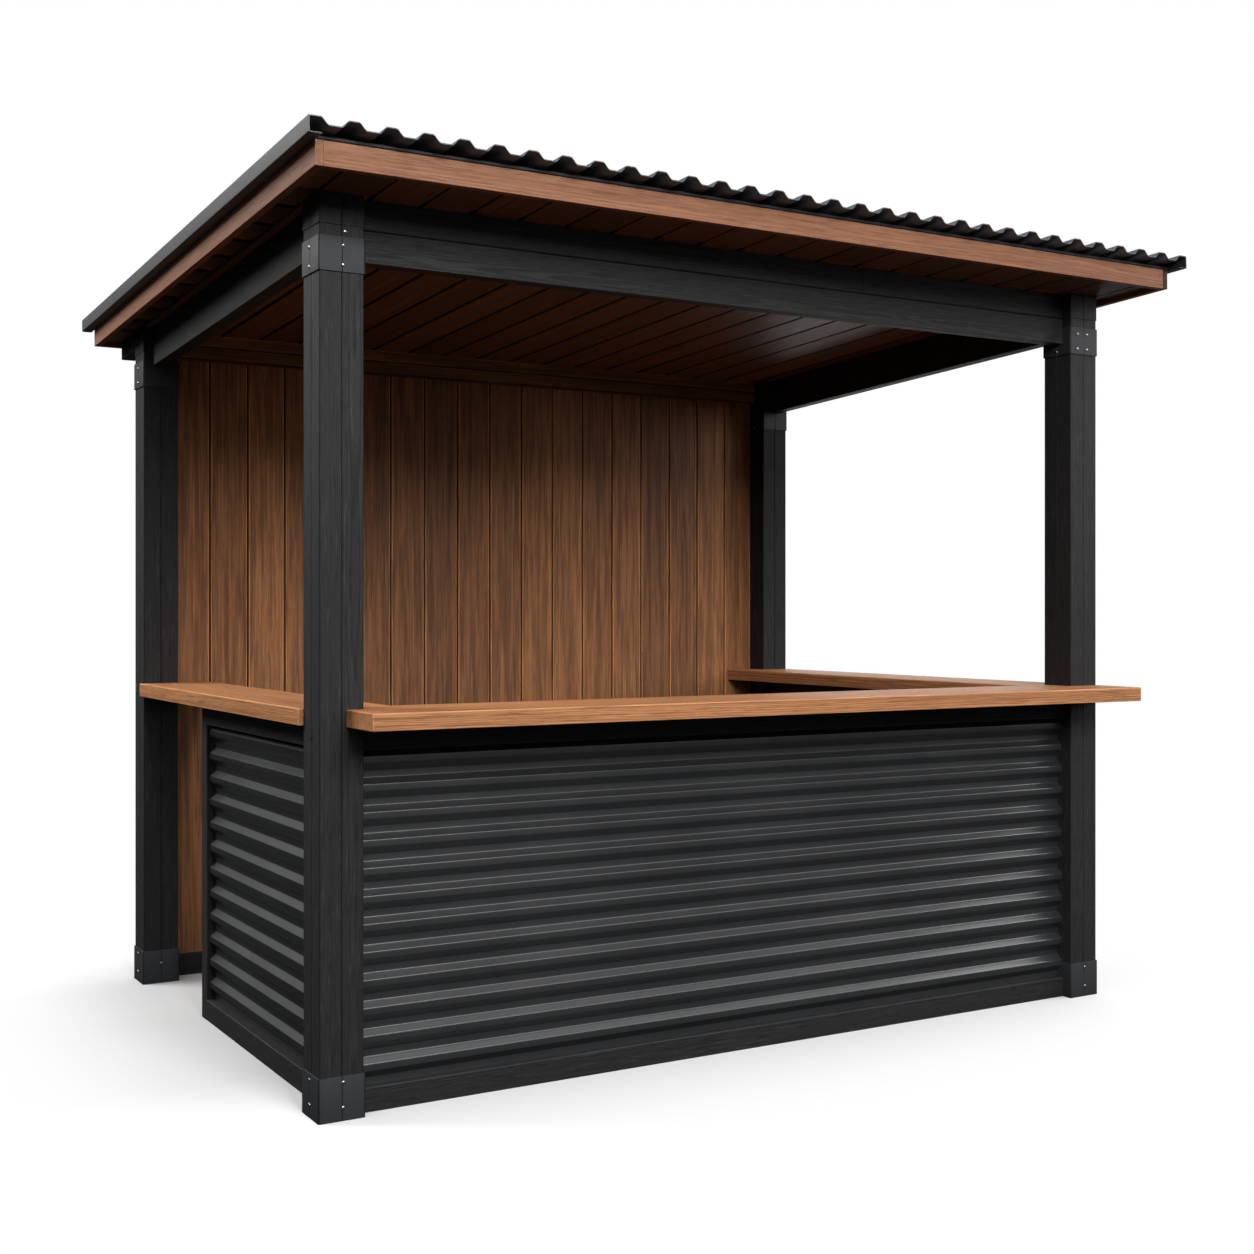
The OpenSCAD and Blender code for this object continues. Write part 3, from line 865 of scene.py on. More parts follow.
# Marks of coated metal in waves per metre: clouds, upright streaks of dust, specks, orange peel and slow
# waves, and the depth of the peel
COAT_CLOUDS = (2.2, 2.2, 2.2)
COAT_STREAKS = (40.0, 40.0, 3.0)
COAT_SPECKS = (900.0, 900.0, 900.0)
COAT_PEEL = (420.0, 420.0, 420.0)
COAT_WAVES = (5.0, 5.0, 5.0)
PEEL_DEPTH = 0.00006


def coated(name, coat, gloss, dust=0.12, wear=0.25, **constants):
    """Coated metal: an orange-peel skin, faint clouds and streaks of dust, paler edges, and a tone."""
    f = Finish(name)
    place, tone, edge = f.place(), f.attribute("tone", "Fac"), f.attribute("edge", "Fac")
    cloud = f.noise(place, COAT_CLOUDS, 4.0, 0.6)
    streak = f.noise(place, COAT_STREAKS, 3.0, 0.6)
    speck = f.noise(place, COAT_SPECKS, 1.0)
    peel = f.noise(place, COAT_PEEL, 2.0)
    pale = tuple(min(1.0, 2.1 * c + 0.01) for c in coat)
    body = f.mixed(dust * f.smooth(cloud + 0.4 * (streak - 0.5), 0.35, 0.75), coat, pale)
    body = f.mixed(wear * edge * f.smooth(streak, 0.35, 0.7), body, pale)
    # Negative edges turn dark: painted shade at sleeve folds and seams and on the right verge trim, and the
    # eaves strips' own black
    body = f.mixed(-0.85 * edge, body, BLACK)
    # The tone scales the colour; on the roof sheet's underside it is raised, partly as painted light
    body = f.scaled(body, 2 * tone * (0.85 + 0.3 * speck))
    rough = gloss + 0.14 * (cloud - 0.5) + 0.08 * (speck - 0.5)
    wave = 6.0 * f.noise(place, COAT_WAVES, 1.0)
    return f.done(body, rough, f.bump(peel + wave, PEEL_DEPTH), **constants)


# Spots on plated metal, in waves per metre, and their depth
ZINC_SPOTS = (260.0, 260.0, 260.0)
SPOT_DEPTH = 0.00005


def zinc(name, metal):
    """Plated bolt heads: bright metal with dull spots."""
    f = Finish(name)
    spot = f.noise(f.place(), ZINC_SPOTS, 3.0)
    body = f.mixed(spot, metal, times(0.6, metal))
    return f.done(body, 0.22 + 0.25 * spot, f.bump(spot, SPOT_DEPTH), Metallic=1.0)


# The floor: its clouds in waves per metre, and the middle and half length of the painted soft shadow beside
# the bar, in shares of half the bar's depth
FLOOR_CLOUDS = (0.6, 0.6, 0.6)
SHADE_MIDDLE = 0.2
SHADE_REACH = 0.6


def pale_floor(name, tint, half, reach, shade):
    """Studio floor: pale with faint clouds, real shadows and a painted shadow near the bar, fading to plain
    white away.

    Distances are counted from the bar's footprint, and from its left side for the painted shadow there.
    """
    f = Finish(name)
    place = f.place()

    def beyond(centre, half_size):
        apart = f.vector("ABSOLUTE", f.vector("SUBTRACT", place, centre))
        return f.far(f.vector("MAXIMUM", f.vector("SUBTRACT", apart, half_size), BLACK))

    fade = f.smooth(beyond(BLACK, half), 0.0, reach)
    left = beyond((-half[0], SHADE_MIDDLE * half[1], 0.0), (0.0, SHADE_REACH * half[1], 0.0))
    # Painted shadow: the floor is darker near the bar's left side
    light = 1 - shade * (1 - f.smooth(left, 0.0, reach))
    cloud = f.noise(place, FLOOR_CLOUDS, 3.0)
    body = f.mixed(cloud, tint, times(0.98, tint))
    f.feed(f.shader.inputs["Emission Color"], f.scaled(f.mixed(fade, BLACK, WHITE), light))
    return f.done(
        f.scaled(f.mixed(fade, body, BLACK), light), 0.9 + 0.05 * cloud, f.bump(cloud, 0.0001),
        Specular_IOR_Level=0.0, Emission_Strength=1.0,
    )


# Looks of the timbers, by the names of their colours, and of the coated metals, with the names of theirs
TIMBERS = {
    "black": dict(ring=0.003, rings=0.6, knots=0.1, flecks=0.9, bright=2.4, wear_and_highlight=0.6, tones=0.1, gloss=0.66),
    "counter": dict(
        ring=0.0035, rings=0.5, knots=0.1, flecks=0.65, fleck_run=6.0, wear_and_highlight=0.8, tones=0.2, gloss=0.5
    ),
    "wall": dict(
        rings=0.3, knots=0.2, flecks=0.5, fleck_run=6.0, bright=1.6, clouds=0.55, wear_and_highlight=1.0, tones=0.8
    ),
    "ceiling": dict(rings=0.3, wear_and_highlight=0.2, tones=0.6, gloss=0.5),
    "fascia": dict(rings=0.3, knots=0.15, wear_and_highlight=0.4, tones=0.1),
}
COATS = {
    "dark_steel": ("sleeve_steel", dict(gloss=0.6, wear=0.3, Specular_IOR_Level=0.35)),
    "panel_metal": ("panel_coat", dict(gloss=0.3, Specular_IOR_Level=1.0, IOR=1.66)),
    "roof_metal": ("roof_coat", dict(gloss=0.5, dust=0.06, Specular_IOR_Level=0.2)),
    "trim_metal": ("trim_coat", dict(gloss=0.55)),
}
MADE = {}


def finish(name):
    """The material of a finish, made at its first use."""
    if name not in MADE:
        bar = bpy.context.scene.garden_bar
        kind = name.removesuffix("_timber")
        if kind in TIMBERS:
            pale, dark = getattr(bar.colours, kind + "_pale"), getattr(bar.colours, kind + "_dark")
            MADE[name] = timber(name, pale, dark, **TIMBERS[kind])
        elif name in COATS:
            coat, looks = COATS[name]
            MADE[name] = coated(name, getattr(bar.colours, coat), **looks)
        elif name == "bolt_zinc":
            MADE[name] = zinc(name, bar.colours.bolt_zinc)
        elif name == "studio_floor":
            half = (OUTER_HIGH[0], OUTER_HIGH[1], 0.0)
            reach, shade = bar.stage.floor_fade, bar.stage.floor_painted_shadow
            MADE[name] = pale_floor(name, bar.colours.floor, half, reach, shade)
    return MADE[name]


# The bar's pieces, one operator for each group


class GARDENBAR_OT_posts(bpy.types.Operator):
    """Four grooved posts and the head blocks on them, which reach up to the sloping ceiling"""

    bl_idname = "gardenbar.posts"
    bl_label = "Posts"

    # How far the head blocks stand out here, as a share of how far they do in the solids
    head_share = 0.3

    def execute(self, context):
        sizes = context.scene.garden_bar.sizes
        section = grooved_section(sizes.arris, sizes.groove)
        proud = self.head_share * (OUTER_LOW[0] - box("post_heads")[0, 0])
        heads = []
        for name, corners in POSTS.items():
            node = "post_" + name
            dress(node, level_board(node, 2, section, sizes.fine_arris), "black_timber")
            middle = corners.mean(0)
            head = np.array([corners[0] - proud, corners[1] + proud])
            head[:, 2] = corners[1, 2], ceiling_height(middle[1])
            block = straight_board(draws("head_" + name), head, 2, section, sizes.fine_arris)
            rise = (block.points[:, 2] - head[0, 2]) / (head[1, 2] - head[0, 2])
            block.points[:, 2] += rise * FALL * (middle[1] - block.points[:, 1])
            heads.append(block)
        dress("post_heads", joined(heads), "black_timber")
        return {"FINISHED"}


# Bolts in shares of a sleeve's width, counted along X or Y, and of its height
MIDDLE_COLUMN = (0.52,)
TWO_COLUMNS = (0.25, 0.59)
TOP_ROWS = (0.2, 0.76)
BASE_ROWS = (0.3, 0.86)
# Single bolts: down the inner faces of the upper sleeves, up the front faces at the back feet, and across the
# post above the front left sleeve
INNER_BOLT = 0.86
BACK_FOOT_BOLT = 0.6
BARE_POST_BOLT = 0.57


class GARDENBAR_OT_sleeves(bpy.types.Operator):
    """Folded steel sleeves at the feet and near the tops of the posts, with their bolts"""

    bl_idname = "gardenbar.sleeves"
    bl_label = "Sleeves and bolts"

    def execute(self, context):
        sizes = context.scene.garden_bar.sizes
        base, top = box("base_sleeves"), box("top_sleeves")
        half = POST_WIDTH / 2 + OUTER_LOW[0] - base[0, 0]
        thickness = half - POST_WIDTH / 2
        post_drop = POSTS["front_left"][1, 2] - POSTS["back_left"][1, 2]
        top_height = top[1, 2] - top[0, 2] - post_drop
        under_head = POSTS["front_left"][1, 2] - top[1, 2]
        rim = 2 * sizes.joint_arris
        plates = {"base_sleeves": [], "top_sleeves": []}
        places, normals = [], []

        def fix(spots, normal):
            places.append(spots)
            normals.append(np.tile(normal, (len(spots), 1)))

        for name, corners in POSTS.items():
            centre = corners.mean(0)[:2]
            out = np.sign(centre)
            top_high = corners[1, 2] - under_head
            spans = {"base_sleeves": (0.0, base[1, 2]), "top_sleeves": (top_high - top_height, top_high)}
            for node, (low, high) in spans.items():
                plate = sleeve(centre, half, low, high, thickness, sizes.sleeve_fold, sizes.seam, rim)
                plates[node].append(plate)
                rows = BASE_ROWS if node == "base_sleeves" else TOP_ROWS
                wide = node == "top_sleeves" and name.endswith("right")
                for axis in (0, 1):
                    columns = TWO_COLUMNS if wide and axis == 1 else MIDDLE_COLUMN
                    share, row = (part.ravel() for part in np.meshgrid(columns, rows))
                    spots = np.empty((len(share), 3))
                    spots[:, axis] = centre[axis] + out[axis] * half
                    spots[:, 1 - axis] = centre[1 - axis] + (2 * share - 1) * half
                    spots[:, 2] = low + row * (high - low)
                    fix(spots, out[axis] * np.eye(3)[axis])
            inner_face = centre[0] - out[0] * half
            fix([(inner_face, centre[1], top_high - INNER_BOLT * top_height)], -out[0] * X_AXIS)
            if name.startswith("back"):
                fix([(centre[0], centre[1] - half, BACK_FOOT_BOLT * base[1, 2])], -Y_AXIS)
            if name == "front_left":
                across = centre[0] + (2 * BARE_POST_BOLT - 1) * half
                fix([(across, corners[0, 1], corners[1, 2] - under_head / 2)], -Y_AXIS)
        for node, parts in plates.items():
            dress(node, joined(parts), "dark_steel")
        places, normals = np.concatenate(places), np.concatenate(normals)
        heads = domes(places, normals, sizes.bolt_radius, sizes.bolt_height, BOLT_SIDES)
        put("sleeve_bolts", heads, finish("bolt_zinc"))
        return {"FINISHED"}


class GARDENBAR_OT_beams(bpy.types.Operator):
    """Front beam and side beams, each of two courses, and the rafter tails at the back"""

    bl_idname = "gardenbar.beams"
    bl_label = "Beams"

    def execute(self, context):
        sizes = context.scene.garden_bar.sizes
        section = rounded_section(sizes.arris)
        # Upper courses carry a dark line of painted shade along their lower edges, above the lower course
        lined = lined_section(sizes.arris, sizes.ceiling_arris)
        for course, shape in (("lower", section), ("upper", lined)):
            node = "front_beam_" + course
            dress(node, level_board(node, 0, shape, sizes.fine_arris), "black_timber")
            for side in ("left", "right"):
                node = f"{side}_beam_{course}"
                dress(node, sloped_boards(node, 1, shape, sizes.fine_arris), "black_timber")
        node = "rafter_tails"
        left, right = box(node)[:, 0]
        width = np.diff(box("left_beam_lower")[:, 0])[0]
        pairs = [(left, left + width), (right - width, right)]
        dress(node, sloped_boards(node, 1, section, sizes.fine_arris, pairs), "black_timber")
        return {"FINISHED"}


class GARDENBAR_OT_roof_edges(bpy.types.Operator):
    """Fascia boards at the front and the back and barge boards at the sides"""

    bl_idname = "gardenbar.roof_edges"
    bl_label = "Fascias and barges"

    def execute(self, context):
        sizes = context.scene.garden_bar.sizes
        section = rounded_section(sizes.fine_arris)
        for node in ("fascia_front", "fascia_back"):
            dress(node, sloped_boards(node, 0, section, sizes.joint_arris), "fascia_timber")
        for node in ("barge_left", "barge_right"):
            board = sloped_boards(node, 1, section, sizes.fine_arris)
            if node == "barge_right":
                # Painted shade: the right barge's front end is drawn dark
                front_end = board.points[:, 1] < box(node)[0, 1] + sizes.fine_arris
                board.edge[front_end] = DARK
            dress(node, board, "fascia_timber")
        return {"FINISHED"}


class GARDENBAR_OT_ceiling(bpy.types.Operator):
    """Boards of the ceiling and of the soffits, and the battens above them"""

    bl_idname = "gardenbar.ceiling"
    bl_label = "Ceiling and soffits"

    def execute(self, context):
        sizes = context.scene.garden_bar.sizes
        section = rounded_section(sizes.fine_arris)
        pitch = CEILING_SIZE[0] / round(CEILING_SIZE[0] / sizes.ceiling_board)
        for node in ("ceiling", "soffit_front", "soffit_back"):
            arris = sizes.ceiling_arris if node == "ceiling" else sizes.joint_arris
            # Board edges drawn dark as painted shade in the gaps
            painted_gap_shade = shadowed(rounded_section(arris))
            place = slab(node)
            edges = cuts(place[0, 0], place[1, 0], pitch, CEILING[0, 0])
            draw = draws(node)
            planks = roof_boards(draw, place, edges, 1, sizes.board_gap, painted_gap_shade, sizes.joint_arris)
            dress(node, joined([planks, tongues(draw, place)]), "ceiling_timber")
        for node in ("soffit_left", "soffit_right"):
            dress(node, self.lapped(sizes, node), "ceiling_timber")
        self.battens(sizes, section)
        return {"FINISHED"}

    def lapped(self, sizes, node):
        """Boards across the eaves, each with its front edge low and its back edge over the next one."""
        (left, front, low), (right, back, high) = slab(node)
        count = round((back - front) / sizes.lapped_board)
        pitch = (back - front) / count
        thickness = sizes.lapped_thickness
        step = high - low - thickness
        tilt = step / (pitch + sizes.lap_over)
        width = np.full(count, pitch + sizes.lap_over)
        width[-1] = pitch
        begin = front + pitch * np.arange(count)
        middle = begin + width / 2
        level = ceiling_height(middle) + low + thickness / 2 + tilt * width / 2
        start = np.stack([np.full(count, left), middle, level], -1)
        end = start + (right - left) * X_AXIS
        sign, offset, edge = rounded_section(sizes.fine_arris)
        # Painted shade: the front edges, on the step faces under the eaves, are drawn dark
        section = sign, offset, np.where(sign[..., 0] < 0, DARK, edge)
        across = LEVEL_ACROSS + tilt * Z_AXIS
        size = np.stack([width, np.full(count, thickness)], -1)
        return boards(draws(node), start, end, across, Z_AXIS, size, section, sizes.joint_arris)

    def battens(self, sizes, section):
        """Battens along X, spaced evenly between the fascias."""
        node = "roof_battens"
        lines, half = batten_lines(sizes), batten_width() / 2
        pairs = np.stack([lines - half, lines + half], -1)
        dress(node, sloped_boards(node, 0, section, sizes.joint_arris, pairs), "ceiling_timber")


def batten_width():
    """Width of a batten, the same as the thickness of a panel rail."""
    return np.diff(box("front_top_rail")[:, 1])[0]


def batten_lines(sizes):
    """Middle lines of the roof battens along the depth."""
    low, high = box("roof_battens")[:, 1]
    run = high - low - batten_width()
    return low + batten_width() / 2 + np.linspace(0, run, math.ceil(run / sizes.batten) + 1)


class GARDENBAR_OT_roof_metal(bpy.types.Operator):
    """Corrugated roof sheet with its screws, the strips under it and the verge trims"""

    bl_idname = "gardenbar.roof_metal"
    bl_label = "Roof metal"

    # In shares of the ridges' spacing: half a ridge's top, half its foot, and from a side to the first ridge
    ridge_top = 0.12
    ridge_foot = 0.34
    edge_share = 1 / 6
    # Points across the sheet for each ridge
    ridge_steps = 24
    # Tone of the sheet's underside, partly its paler coat and partly painted light, and painted shade of the
    # right verge trim
    underside_coat_and_painted_light = 1.3
    right_verge_painted_shade = -0.8

    def execute(self, context):
        sizes = context.scene.garden_bar.sizes
        self.strips(sizes)
        self.cover(sizes)
        for node in ("verge_left", "verge_right"):
            self.verge(sizes, node)
        return {"FINISHED"}

    def strips(self, sizes):
        """Thin strips on top of the fascias."""
        node = "eaves_strips"
        front, back = box(node)[:, 1]
        pairs = [(front, box("fascia_front")[1, 1]), (box("fascia_back")[0, 1], back)]
        both = sloped_boards(node, 0, rounded_section(sizes.fine_arris), sizes.joint_arris, pairs)
        both.edge[:] = DARK
        dress(node, both, "roof_metal")

    def cover(self, sizes):
        """Sheet with flat valleys and ridges; between them the height eases up as 3 t squared - 2 t cubed.

        The sheet's points come in four runs, underside and top at the front end and again at the back end.
        """
        (left, front, low), (right, back, high) = slope_box("roof_sheet")
        ridges = round((right - left) / sizes.ridge - 2 * self.edge_share)
        spacing = (right - left) / (ridges + 2 * self.edge_share)
        first = left + self.edge_share * spacing
        turn = np.linspace(-self.edge_share, ridges + self.edge_share, ridges * self.ridge_steps)
        away = np.abs(turn - np.round(turn))
        t = np.clip((self.ridge_foot - away) / (self.ridge_foot - self.ridge_top), 0.0, 1.0)
        under = np.stack([first + spacing * turn, low + (high - low - sizes.sheet) * t**2 * (3 - 2 * t)], -1)
        surface = roof_metal_sheet(under, under + [0.0, sizes.sheet], front, back)
        # The underside's paler tone is partly its coat and partly painted light
        surface.tone.reshape(4, -1)[::2] = self.underside_coat_and_painted_light
        dress("roof_sheet", surface, "roof_metal")

        across, lines = np.meshgrid(np.arange(1, ridges, 2), batten_lines(sizes))
        x = first + spacing * across.ravel()
        down = (lines.ravel() - SLOPE_ORIGIN[1]) / SLOPE_ALONG[1]
        spots = SLOPE_ORIGIN + x[:, None] * X_AXIS + down[:, None] * SLOPE_ALONG + high * SLOPE_NORMAL
        spots -= sizes.screw_height * SLOPE_NORMAL / 2
        normals = np.tile(SLOPE_NORMAL, (len(spots), 1))
        heads = domes(spots, normals, sizes.screw_radius, sizes.screw_height, SCREW_SIDES)
        put("roof_screws", heads, finish("roof_metal"))

    def verge(self, sizes, node):
        """Angle with a lip below and a tall face, folded from one plate; the right one is darker by painted
        shade.
        """
        (left, front, low), (right, back, high) = slope_box(node)
        outer, lip = (left, right) if right < 0 else (right, left)
        line = rounded_bends(np.array([(lip, low), (outer, low), (outer, high)]), sizes.verge_bend)
        inner = offset_line(line, sizes.sheet if outer > 0 else -sizes.sheet)
        angle = roof_metal_sheet(line, inner, front, back)
        # Painted shade on the right trim
        if outer > 0:
            angle.edge[:] = self.right_verge_painted_shade
        dress(node, angle, "trim_metal")


class GARDENBAR_OT_back_wall(bpy.types.Operator):
    """Upright boards of the back wall, the rail under them and the header before them"""

    bl_idname = "gardenbar.back_wall"
    bl_label = "Back wall"

    # How far a board may lie off the middle, and what boards are thinner by so that they stay inside the wall
    sway = 0.0006
    thinner = 0.0014
    # The slab behind the gaps, drawn dark as painted shade: half its thickness, and how far it stays inside
    # at the sides and the ends
    tongue_half = 0.004
    tongue_side = 0.01
    tongue_end = 0.002

    def execute(self, context):
        sizes = context.scene.garden_bar.sizes
        low, high = box("back_wall")
        top = ceiling_height(high[1])
        middle = (low[1] + high[1]) / 2
        count = round((high[0] - low[0]) / sizes.wall_board)
        edges = np.linspace(low[0], high[0], count + 1)
        centres = (edges[:-1] + edges[1:]) / 2
        draw = draws("back_wall")
        depth = middle + draw.uniform(-self.sway, self.sway, count)
        start = np.stack([centres, depth, np.full(count, low[2])], -1)
        end = start * (1, 1, 0) + top * Z_AXIS
        size = (edges[1] - edges[0] - sizes.board_gap, high[1] - low[1] - self.thinner)
        section = rounded_section(sizes.board_arris)
        planks = boards(draw, start, end, X_AXIS, Y_AXIS, size, section, sizes.joint_arris)
        inset = np.array([self.tongue_side, -self.tongue_half, self.tongue_end])
        tongue = np.array([(low[0], middle, low[2]) + inset, (high[0], middle, top) - inset])
        infill = straight_board(draw, tongue, 2, rounded_section(sizes.joint_arris), sizes.joint_arris)
        # Painted shade seen through the gaps between the boards
        infill.edge[:] = DARK
        dress("back_wall", joined([planks, infill]), "wall_timber")

        # The header boards carry dark lines of painted shade along their lower edges
        lined = lined_section(sizes.fine_arris, sizes.ceiling_arris)
        for node in ("back_header_lower", "back_header_upper"):
            dress(node, sloped_boards(node, 0, lined, sizes.fine_arris), "wall_timber")
        node = "back_bottom_rail"
        dress(node, level_board(node, 0, rounded_section(sizes.arris), sizes.fine_arris), "black_timber")
        return {"FINISHED"}


# Where a rib's inner flat, lower slope, outer flat and upper slope begin, in shares of its height from below
RIB_TURNS = np.cumsum([0.0, 0.26, 0.27, 0.25])


class GARDENBAR_OT_panels(bpy.types.Operator):
    """Ribbed metal panels under the counters, their rails and the end stud beside the way in"""

    bl_idname = "gardenbar.panels"
    bl_label = "Panels and rails"

    def execute(self, context):
        sizes = context.scene.garden_bar.sizes
        sides = (("front", 0, 1.0), ("left", 1, 1.0), ("right", 1, -1.0))
        for side, axis, inwards in sides:
            self.panel(sizes, side + "_panel", axis, inwards)
        section = rounded_section(sizes.arris)
        for side, axis, _ in sides:
            for course in ("bottom", "top"):
                node = f"{side}_{course}_rail"
                dress(node, level_board(node, axis, section, sizes.fine_arris), "black_timber")
        node = "left_end_stud"
        dress(node, level_board(node, 2, section, sizes.fine_arris), "black_timber")
        return {"FINISHED"}

    def panel(self, sizes, node, run_axis, inwards):
        """Sheet with level ribs: flats and slopes by turns up its height with round bends, carried along."""
        depth_axis = 1 - run_axis
        corners = box(node)
        low, high = corners[:, 2]
        rise = (high - low) / sizes.ribs
        rib_depth = corners[1, depth_axis] - corners[0, depth_axis] - sizes.sheet
        heights = low + rise * (np.arange(sizes.ribs)[:, None] + RIB_TURNS)
        depths = np.broadcast_to(rib_depth * np.array([1.0, 1.0, 0.0, 0.0]), heights.shape)
        line = np.stack([depths.ravel(), heights.ravel()], -1)
        line = rounded_bends(np.concatenate([line, [(rib_depth, high)]]), sizes.sheet_bend)
        inner = offset_line(line, -sizes.sheet)
        start = np.zeros(3)
        start[depth_axis] = corners[0, depth_axis] if inwards > 0 else corners[1, depth_axis]
        end = start.copy()
        start[run_axis], end[run_axis] = corners[:, run_axis]
        surface = sheet(line, inner, start, end, inwards * np.eye(3)[depth_axis], Z_AXIS)
        dress(node, surface, "panel_metal")


class GARDENBAR_OT_counters(bpy.types.Operator):
    """Counter boards, glued up from staves that are cut round the posts"""

    bl_idname = "gardenbar.counters"
    bl_label = "Counters"

    def execute(self, context):
        sizes = context.scene.garden_bar.sizes
        self.front(sizes)
        self.side(sizes, "counter_left")
        self.side(sizes, "counter_right")
        return {"FINISHED"}

    def stave(self, draw, sizes, x, y, z, axis, open_low, open_high):
        """One stave, with a full arris at its open sides and a fine one where it meets another stave."""
        low = sizes.arris if open_low else sizes.joint_arris
        high = sizes.arris if open_high else sizes.joint_arris
        section = rounded_section([high, low, low, high])
        return straight_board(draw, np.array([x, y, z]).T, axis, section, sizes.fine_arris)

    def front(self, sizes):
        """Two long staves before the posts, one between the posts, and the end beside the right post."""
        low, high = box("counter_front")
        z = (low[2], high[2])
        face = OUTER_LOW[1]
        middle = (low[1] + face) / 2
        draw = draws("counter_front")
        staves = [
            self.stave(draw, sizes, (low[0], high[0]), (low[1], middle), z, 0, True, False),
            self.stave(draw, sizes, (low[0], high[0]), (middle, face), z, 0, False, False),
            self.stave(draw, sizes, (BAY_LOW[0], BAY_HIGH[0]), (face, high[1]), z, 0, False, True),
            self.stave(draw, sizes, (OUTER_HIGH[0], high[0]), (face, high[1]), z, 1, False, True),
        ]
        dress("counter_front", joined(staves), "counter_timber")

    def side(self, sizes, node):
        """An outer stave that stops at the back post and an inner one that runs on to the wall."""
        low, high = box(node)
        z = (low[2], high[2])
        draw = draws(node)
        left = low[0] < 0
        if left:
            outer, inner = (low[0], BAY_LOW[0]), (BAY_LOW[0], high[0])
        else:
            outer, inner = (BAY_HIGH[0], high[0]), (low[0], BAY_HIGH[0])
        staves = [
            self.stave(draw, sizes, outer, (low[1], BAY_HIGH[1]), z, 1, left, not left),
            self.stave(draw, sizes, inner, (low[1], high[1]), z, 1, not left, left),
        ]
        dress(node, joined(staves), "counter_timber")


class GARDENBAR_OT_fittings(bpy.types.Operator):
    """Small steel plates on the left posts, where the ends of the left counter are held"""

    bl_idname = "gardenbar.fittings"
    bl_label = "Fittings"

    # Thickness before the post, width and height of a plate, and how far it is let into the post
    plate = np.array([0.003, 0.012, 0.03])
    let_in = np.array([0.002, 0.0, 0.0])
    # Middles of the plates: from the outer faces at the front and the back, and below the counter's top
    from_front = np.array([0.06, 0.06])
    from_back = np.array([0.022, 0.02])

    def execute(self, context):
        sizes = context.scene.garden_bar.sizes
        top = box("counter_left")[1, 2]
        draw = draws("fittings")
        section = rounded_section(sizes.joint_arris)
        middles = (
            (OUTER_LOW[1] + self.from_front[0], top - self.from_front[1]),
            (OUTER_HIGH[1] - self.from_back[0], top - self.from_back[1]),
        )
        parts = []
        for y, z in middles:
            low = np.array([OUTER_LOW[0], y, z]) - self.plate / (1, 2, 2)
            corners = np.array([low, low + self.plate + self.let_in])
            parts.append(straight_board(draw, corners, 2, section, sizes.joint_arris))
        put("counter_plates", joined(parts), finish("trim_metal"))
        return {"FINISHED"}


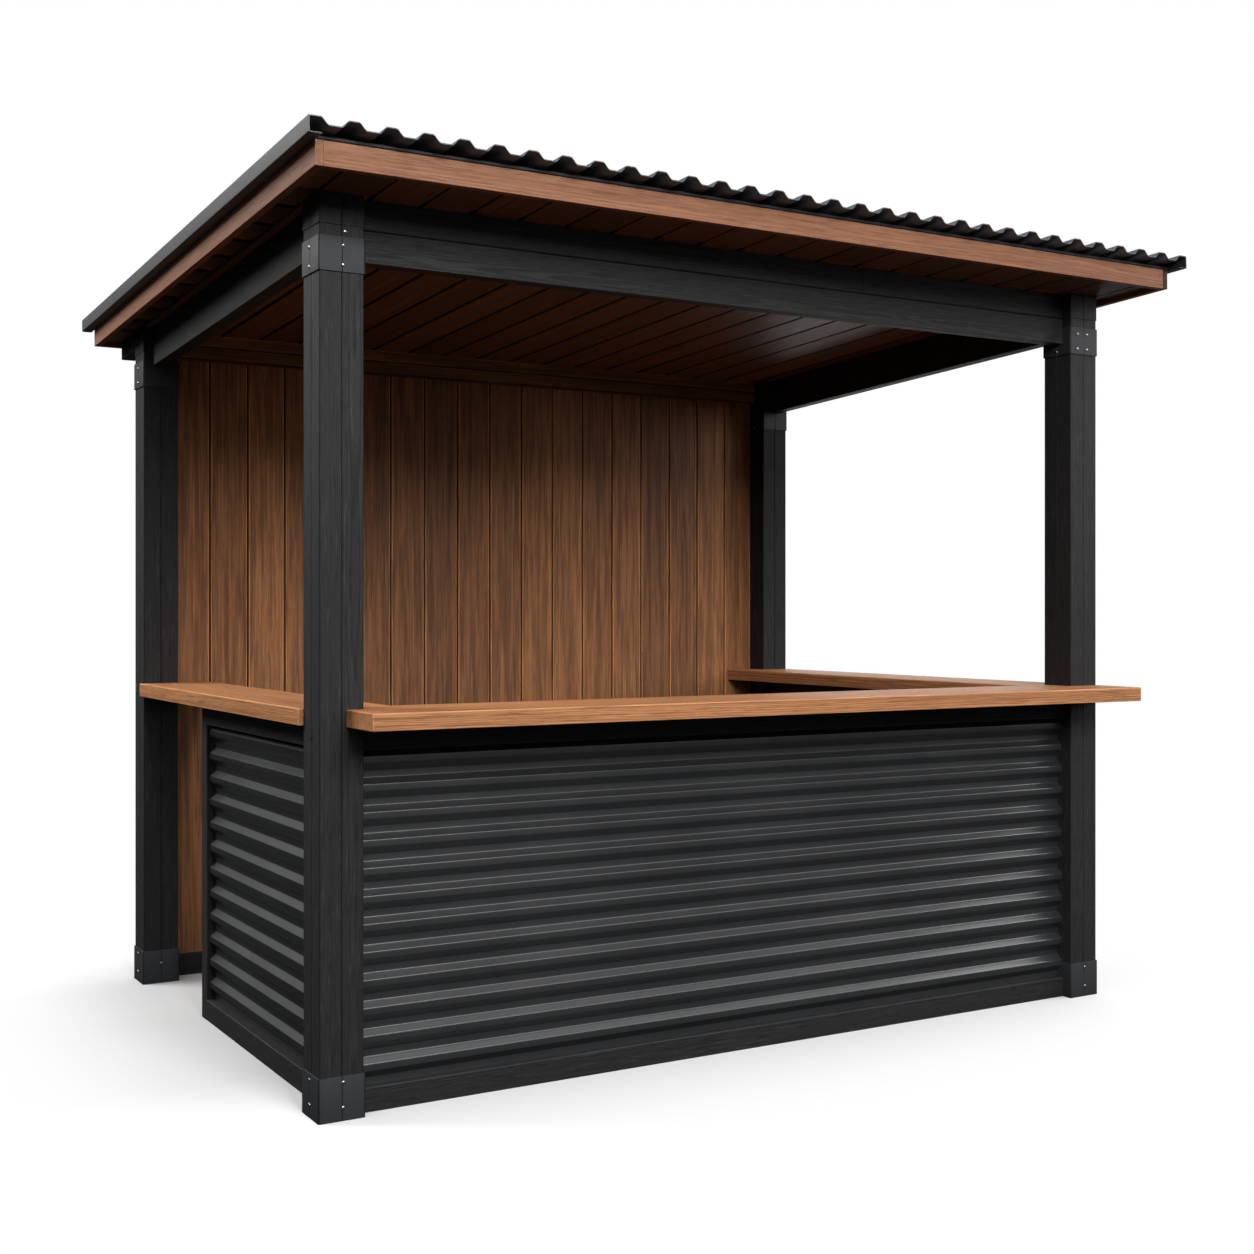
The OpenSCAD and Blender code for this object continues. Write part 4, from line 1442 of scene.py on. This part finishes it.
class GARDENBAR_OT_stage(bpy.types.Operator):
    """Pale floor, white surroundings, four soft lights and the camera"""

    bl_idname = "gardenbar.stage"
    bl_label = "Stage"

    # Where the sky changes, by the height of a direction: about the horizon, and up to its full strength; the
    # second also bounds its dark side. Then the width of the camera's sensor in millimetres
    horizon = 0.05
    full_sky = 0.9
    sensor = 36.0

    def execute(self, context):
        scene = context.scene
        stage = scene.garden_bar.stage
        self.floor(scene, stage)
        self.surroundings(scene, stage)
        for name in ("key", "side", "fill", "sheen"):
            settings = (getattr(stage, f"{name}_{part}") for part in ("place", "power", "size"))
            light = self.lamp(scene, name + "_light", *settings)
            light.visible_diffuse = name != "sheen"
        self.camera(scene, stage)
        scene.view_settings.view_transform = "Standard"
        return {"FINISHED"}

    def floor(self, scene, stage):
        """Square of one face on the ground."""
        half = stage.floor_size / 2
        mesh = bpy.data.meshes.new("studio_floor")
        corners = [(-half, -half, 0), (half, -half, 0), (half, half, 0), (-half, half, 0)]
        mesh.from_pydata(corners, [], [(0, 1, 2, 3)])
        mesh.materials.append(finish("studio_floor"))
        floor = bpy.data.objects.new("studio_floor", mesh)
        scene.collection.objects.link(floor)
        floor.visible_diffuse = False
        floor.visible_glossy = False

    def surroundings(self, scene, stage):
        """White for the camera; as light, strong overhead, weaker at the horizon and one side, dark below."""
        world = bpy.data.worlds.new("studio")
        world.use_nodes = True
        scene.world = world
        g = Graph(world.node_tree)
        towards = g.node("ShaderNodeTexCoord", {}, {}, "Generated")
        height = g.node("ShaderNodeSeparateXYZ", {}, {0: towards}, 2)
        away = g.measured("DOT_PRODUCT", towards, stage.sky_away)
        share = (
            stage.ground
            + (stage.skyline - stage.ground) * g.smooth(height, -self.horizon, self.horizon)
            + (1 - stage.skyline) * g.smooth(height, 0.0, self.full_sky)
        )
        share = share * (1 - stage.sky_dim * g.smooth(away, 0.0, self.full_sky))
        light = g.node("ShaderNodeBackground", {}, {0: (*WHITE, 1.0), 1: stage.sky * share})
        seen = g.node("ShaderNodeBackground", {}, {0: (*WHITE, 1.0), 1: 1.0})
        by_camera = g.node("ShaderNodeLightPath", {}, {}, "Is Camera Ray")
        choice = g.node("ShaderNodeMixShader", {}, {0: by_camera, 1: light, 2: seen})
        g.feed(g.tree.nodes["World Output"].inputs["Surface"], choice)

    def lamp(self, scene, name, place, power, size):
        """Large soft light that points at the middle of the bar."""
        data = bpy.data.lights.new(name, "AREA")
        data.energy = power
        data.size = size
        light = bpy.data.objects.new(name, data)
        scene.collection.objects.link(light)
        light.visible_camera = False
        light.location = place
        aim = (Vector(CAD_BOX[0]) + Vector(CAD_BOX[1])) / 2 - light.location
        light.rotation_euler = aim.to_track_quat("-Z", "Y").to_euler()
        return light

    def camera(self, scene, stage):
        """Level camera, turned to the right of +Y."""
        data = bpy.data.cameras.new("photo_camera")
        data.sensor_width = self.sensor
        data.lens = stage.lens
        data.shift_x, data.shift_y = stage.shift
        camera = bpy.data.objects.new("photo_camera", data)
        scene.collection.objects.link(camera)
        camera.location = stage.camera
        camera.rotation_euler = (math.radians(90), 0.0, -stage.heading)
        scene.camera = camera


OPERATORS = (
    GARDENBAR_OT_posts,
    GARDENBAR_OT_sleeves,
    GARDENBAR_OT_beams,
    GARDENBAR_OT_roof_edges,
    GARDENBAR_OT_ceiling,
    GARDENBAR_OT_roof_metal,
    GARDENBAR_OT_back_wall,
    GARDENBAR_OT_panels,
    GARDENBAR_OT_counters,
    GARDENBAR_OT_fittings,
    GARDENBAR_OT_stage,
)


class GARDENBAR_PT_bar(bpy.types.Panel):
    """Lists the steps that dress the bar, and its settings"""

    bl_idname = "GARDENBAR_PT_bar"
    bl_label = "Garden Bar"
    bl_space_type = "VIEW_3D"
    bl_region_type = "UI"
    bl_category = "Garden Bar"

    def draw(self, context):
        steps = self.layout.column(align=True)
        for operator in OPERATORS:
            steps.operator(operator.bl_idname)
        settings = context.scene.garden_bar
        for group in (settings.sizes, settings.colours, settings.stage):
            fields = self.layout.column()
            for key in group.__annotations__:
                fields.prop(group, key)


CLASSES = (
    GardenBarSizes,
    GardenBarColours,
    GardenBarStage,
    GardenBarSettings,
    *OPERATORS,
    GARDENBAR_PT_bar,
)


def register():
    for each in CLASSES:
        bpy.utils.register_class(each)
    bpy.types.Scene.garden_bar = PointerProperty(type=GardenBarSettings)


def unregister():
    del bpy.types.Scene.garden_bar
    for each in reversed(CLASSES):
        bpy.utils.unregister_class(each)


def main():
    """Dresses the bar and sets the stage."""
    register()
    bpy.ops.gardenbar.posts()
    bpy.ops.gardenbar.sleeves()
    bpy.ops.gardenbar.beams()
    bpy.ops.gardenbar.roof_edges()
    bpy.ops.gardenbar.ceiling()
    bpy.ops.gardenbar.roof_metal()
    bpy.ops.gardenbar.back_wall()
    bpy.ops.gardenbar.panels()
    bpy.ops.gardenbar.counters()
    bpy.ops.gardenbar.fittings()
    bpy.ops.gardenbar.stage()


if __name__ == "__main__":
    main()
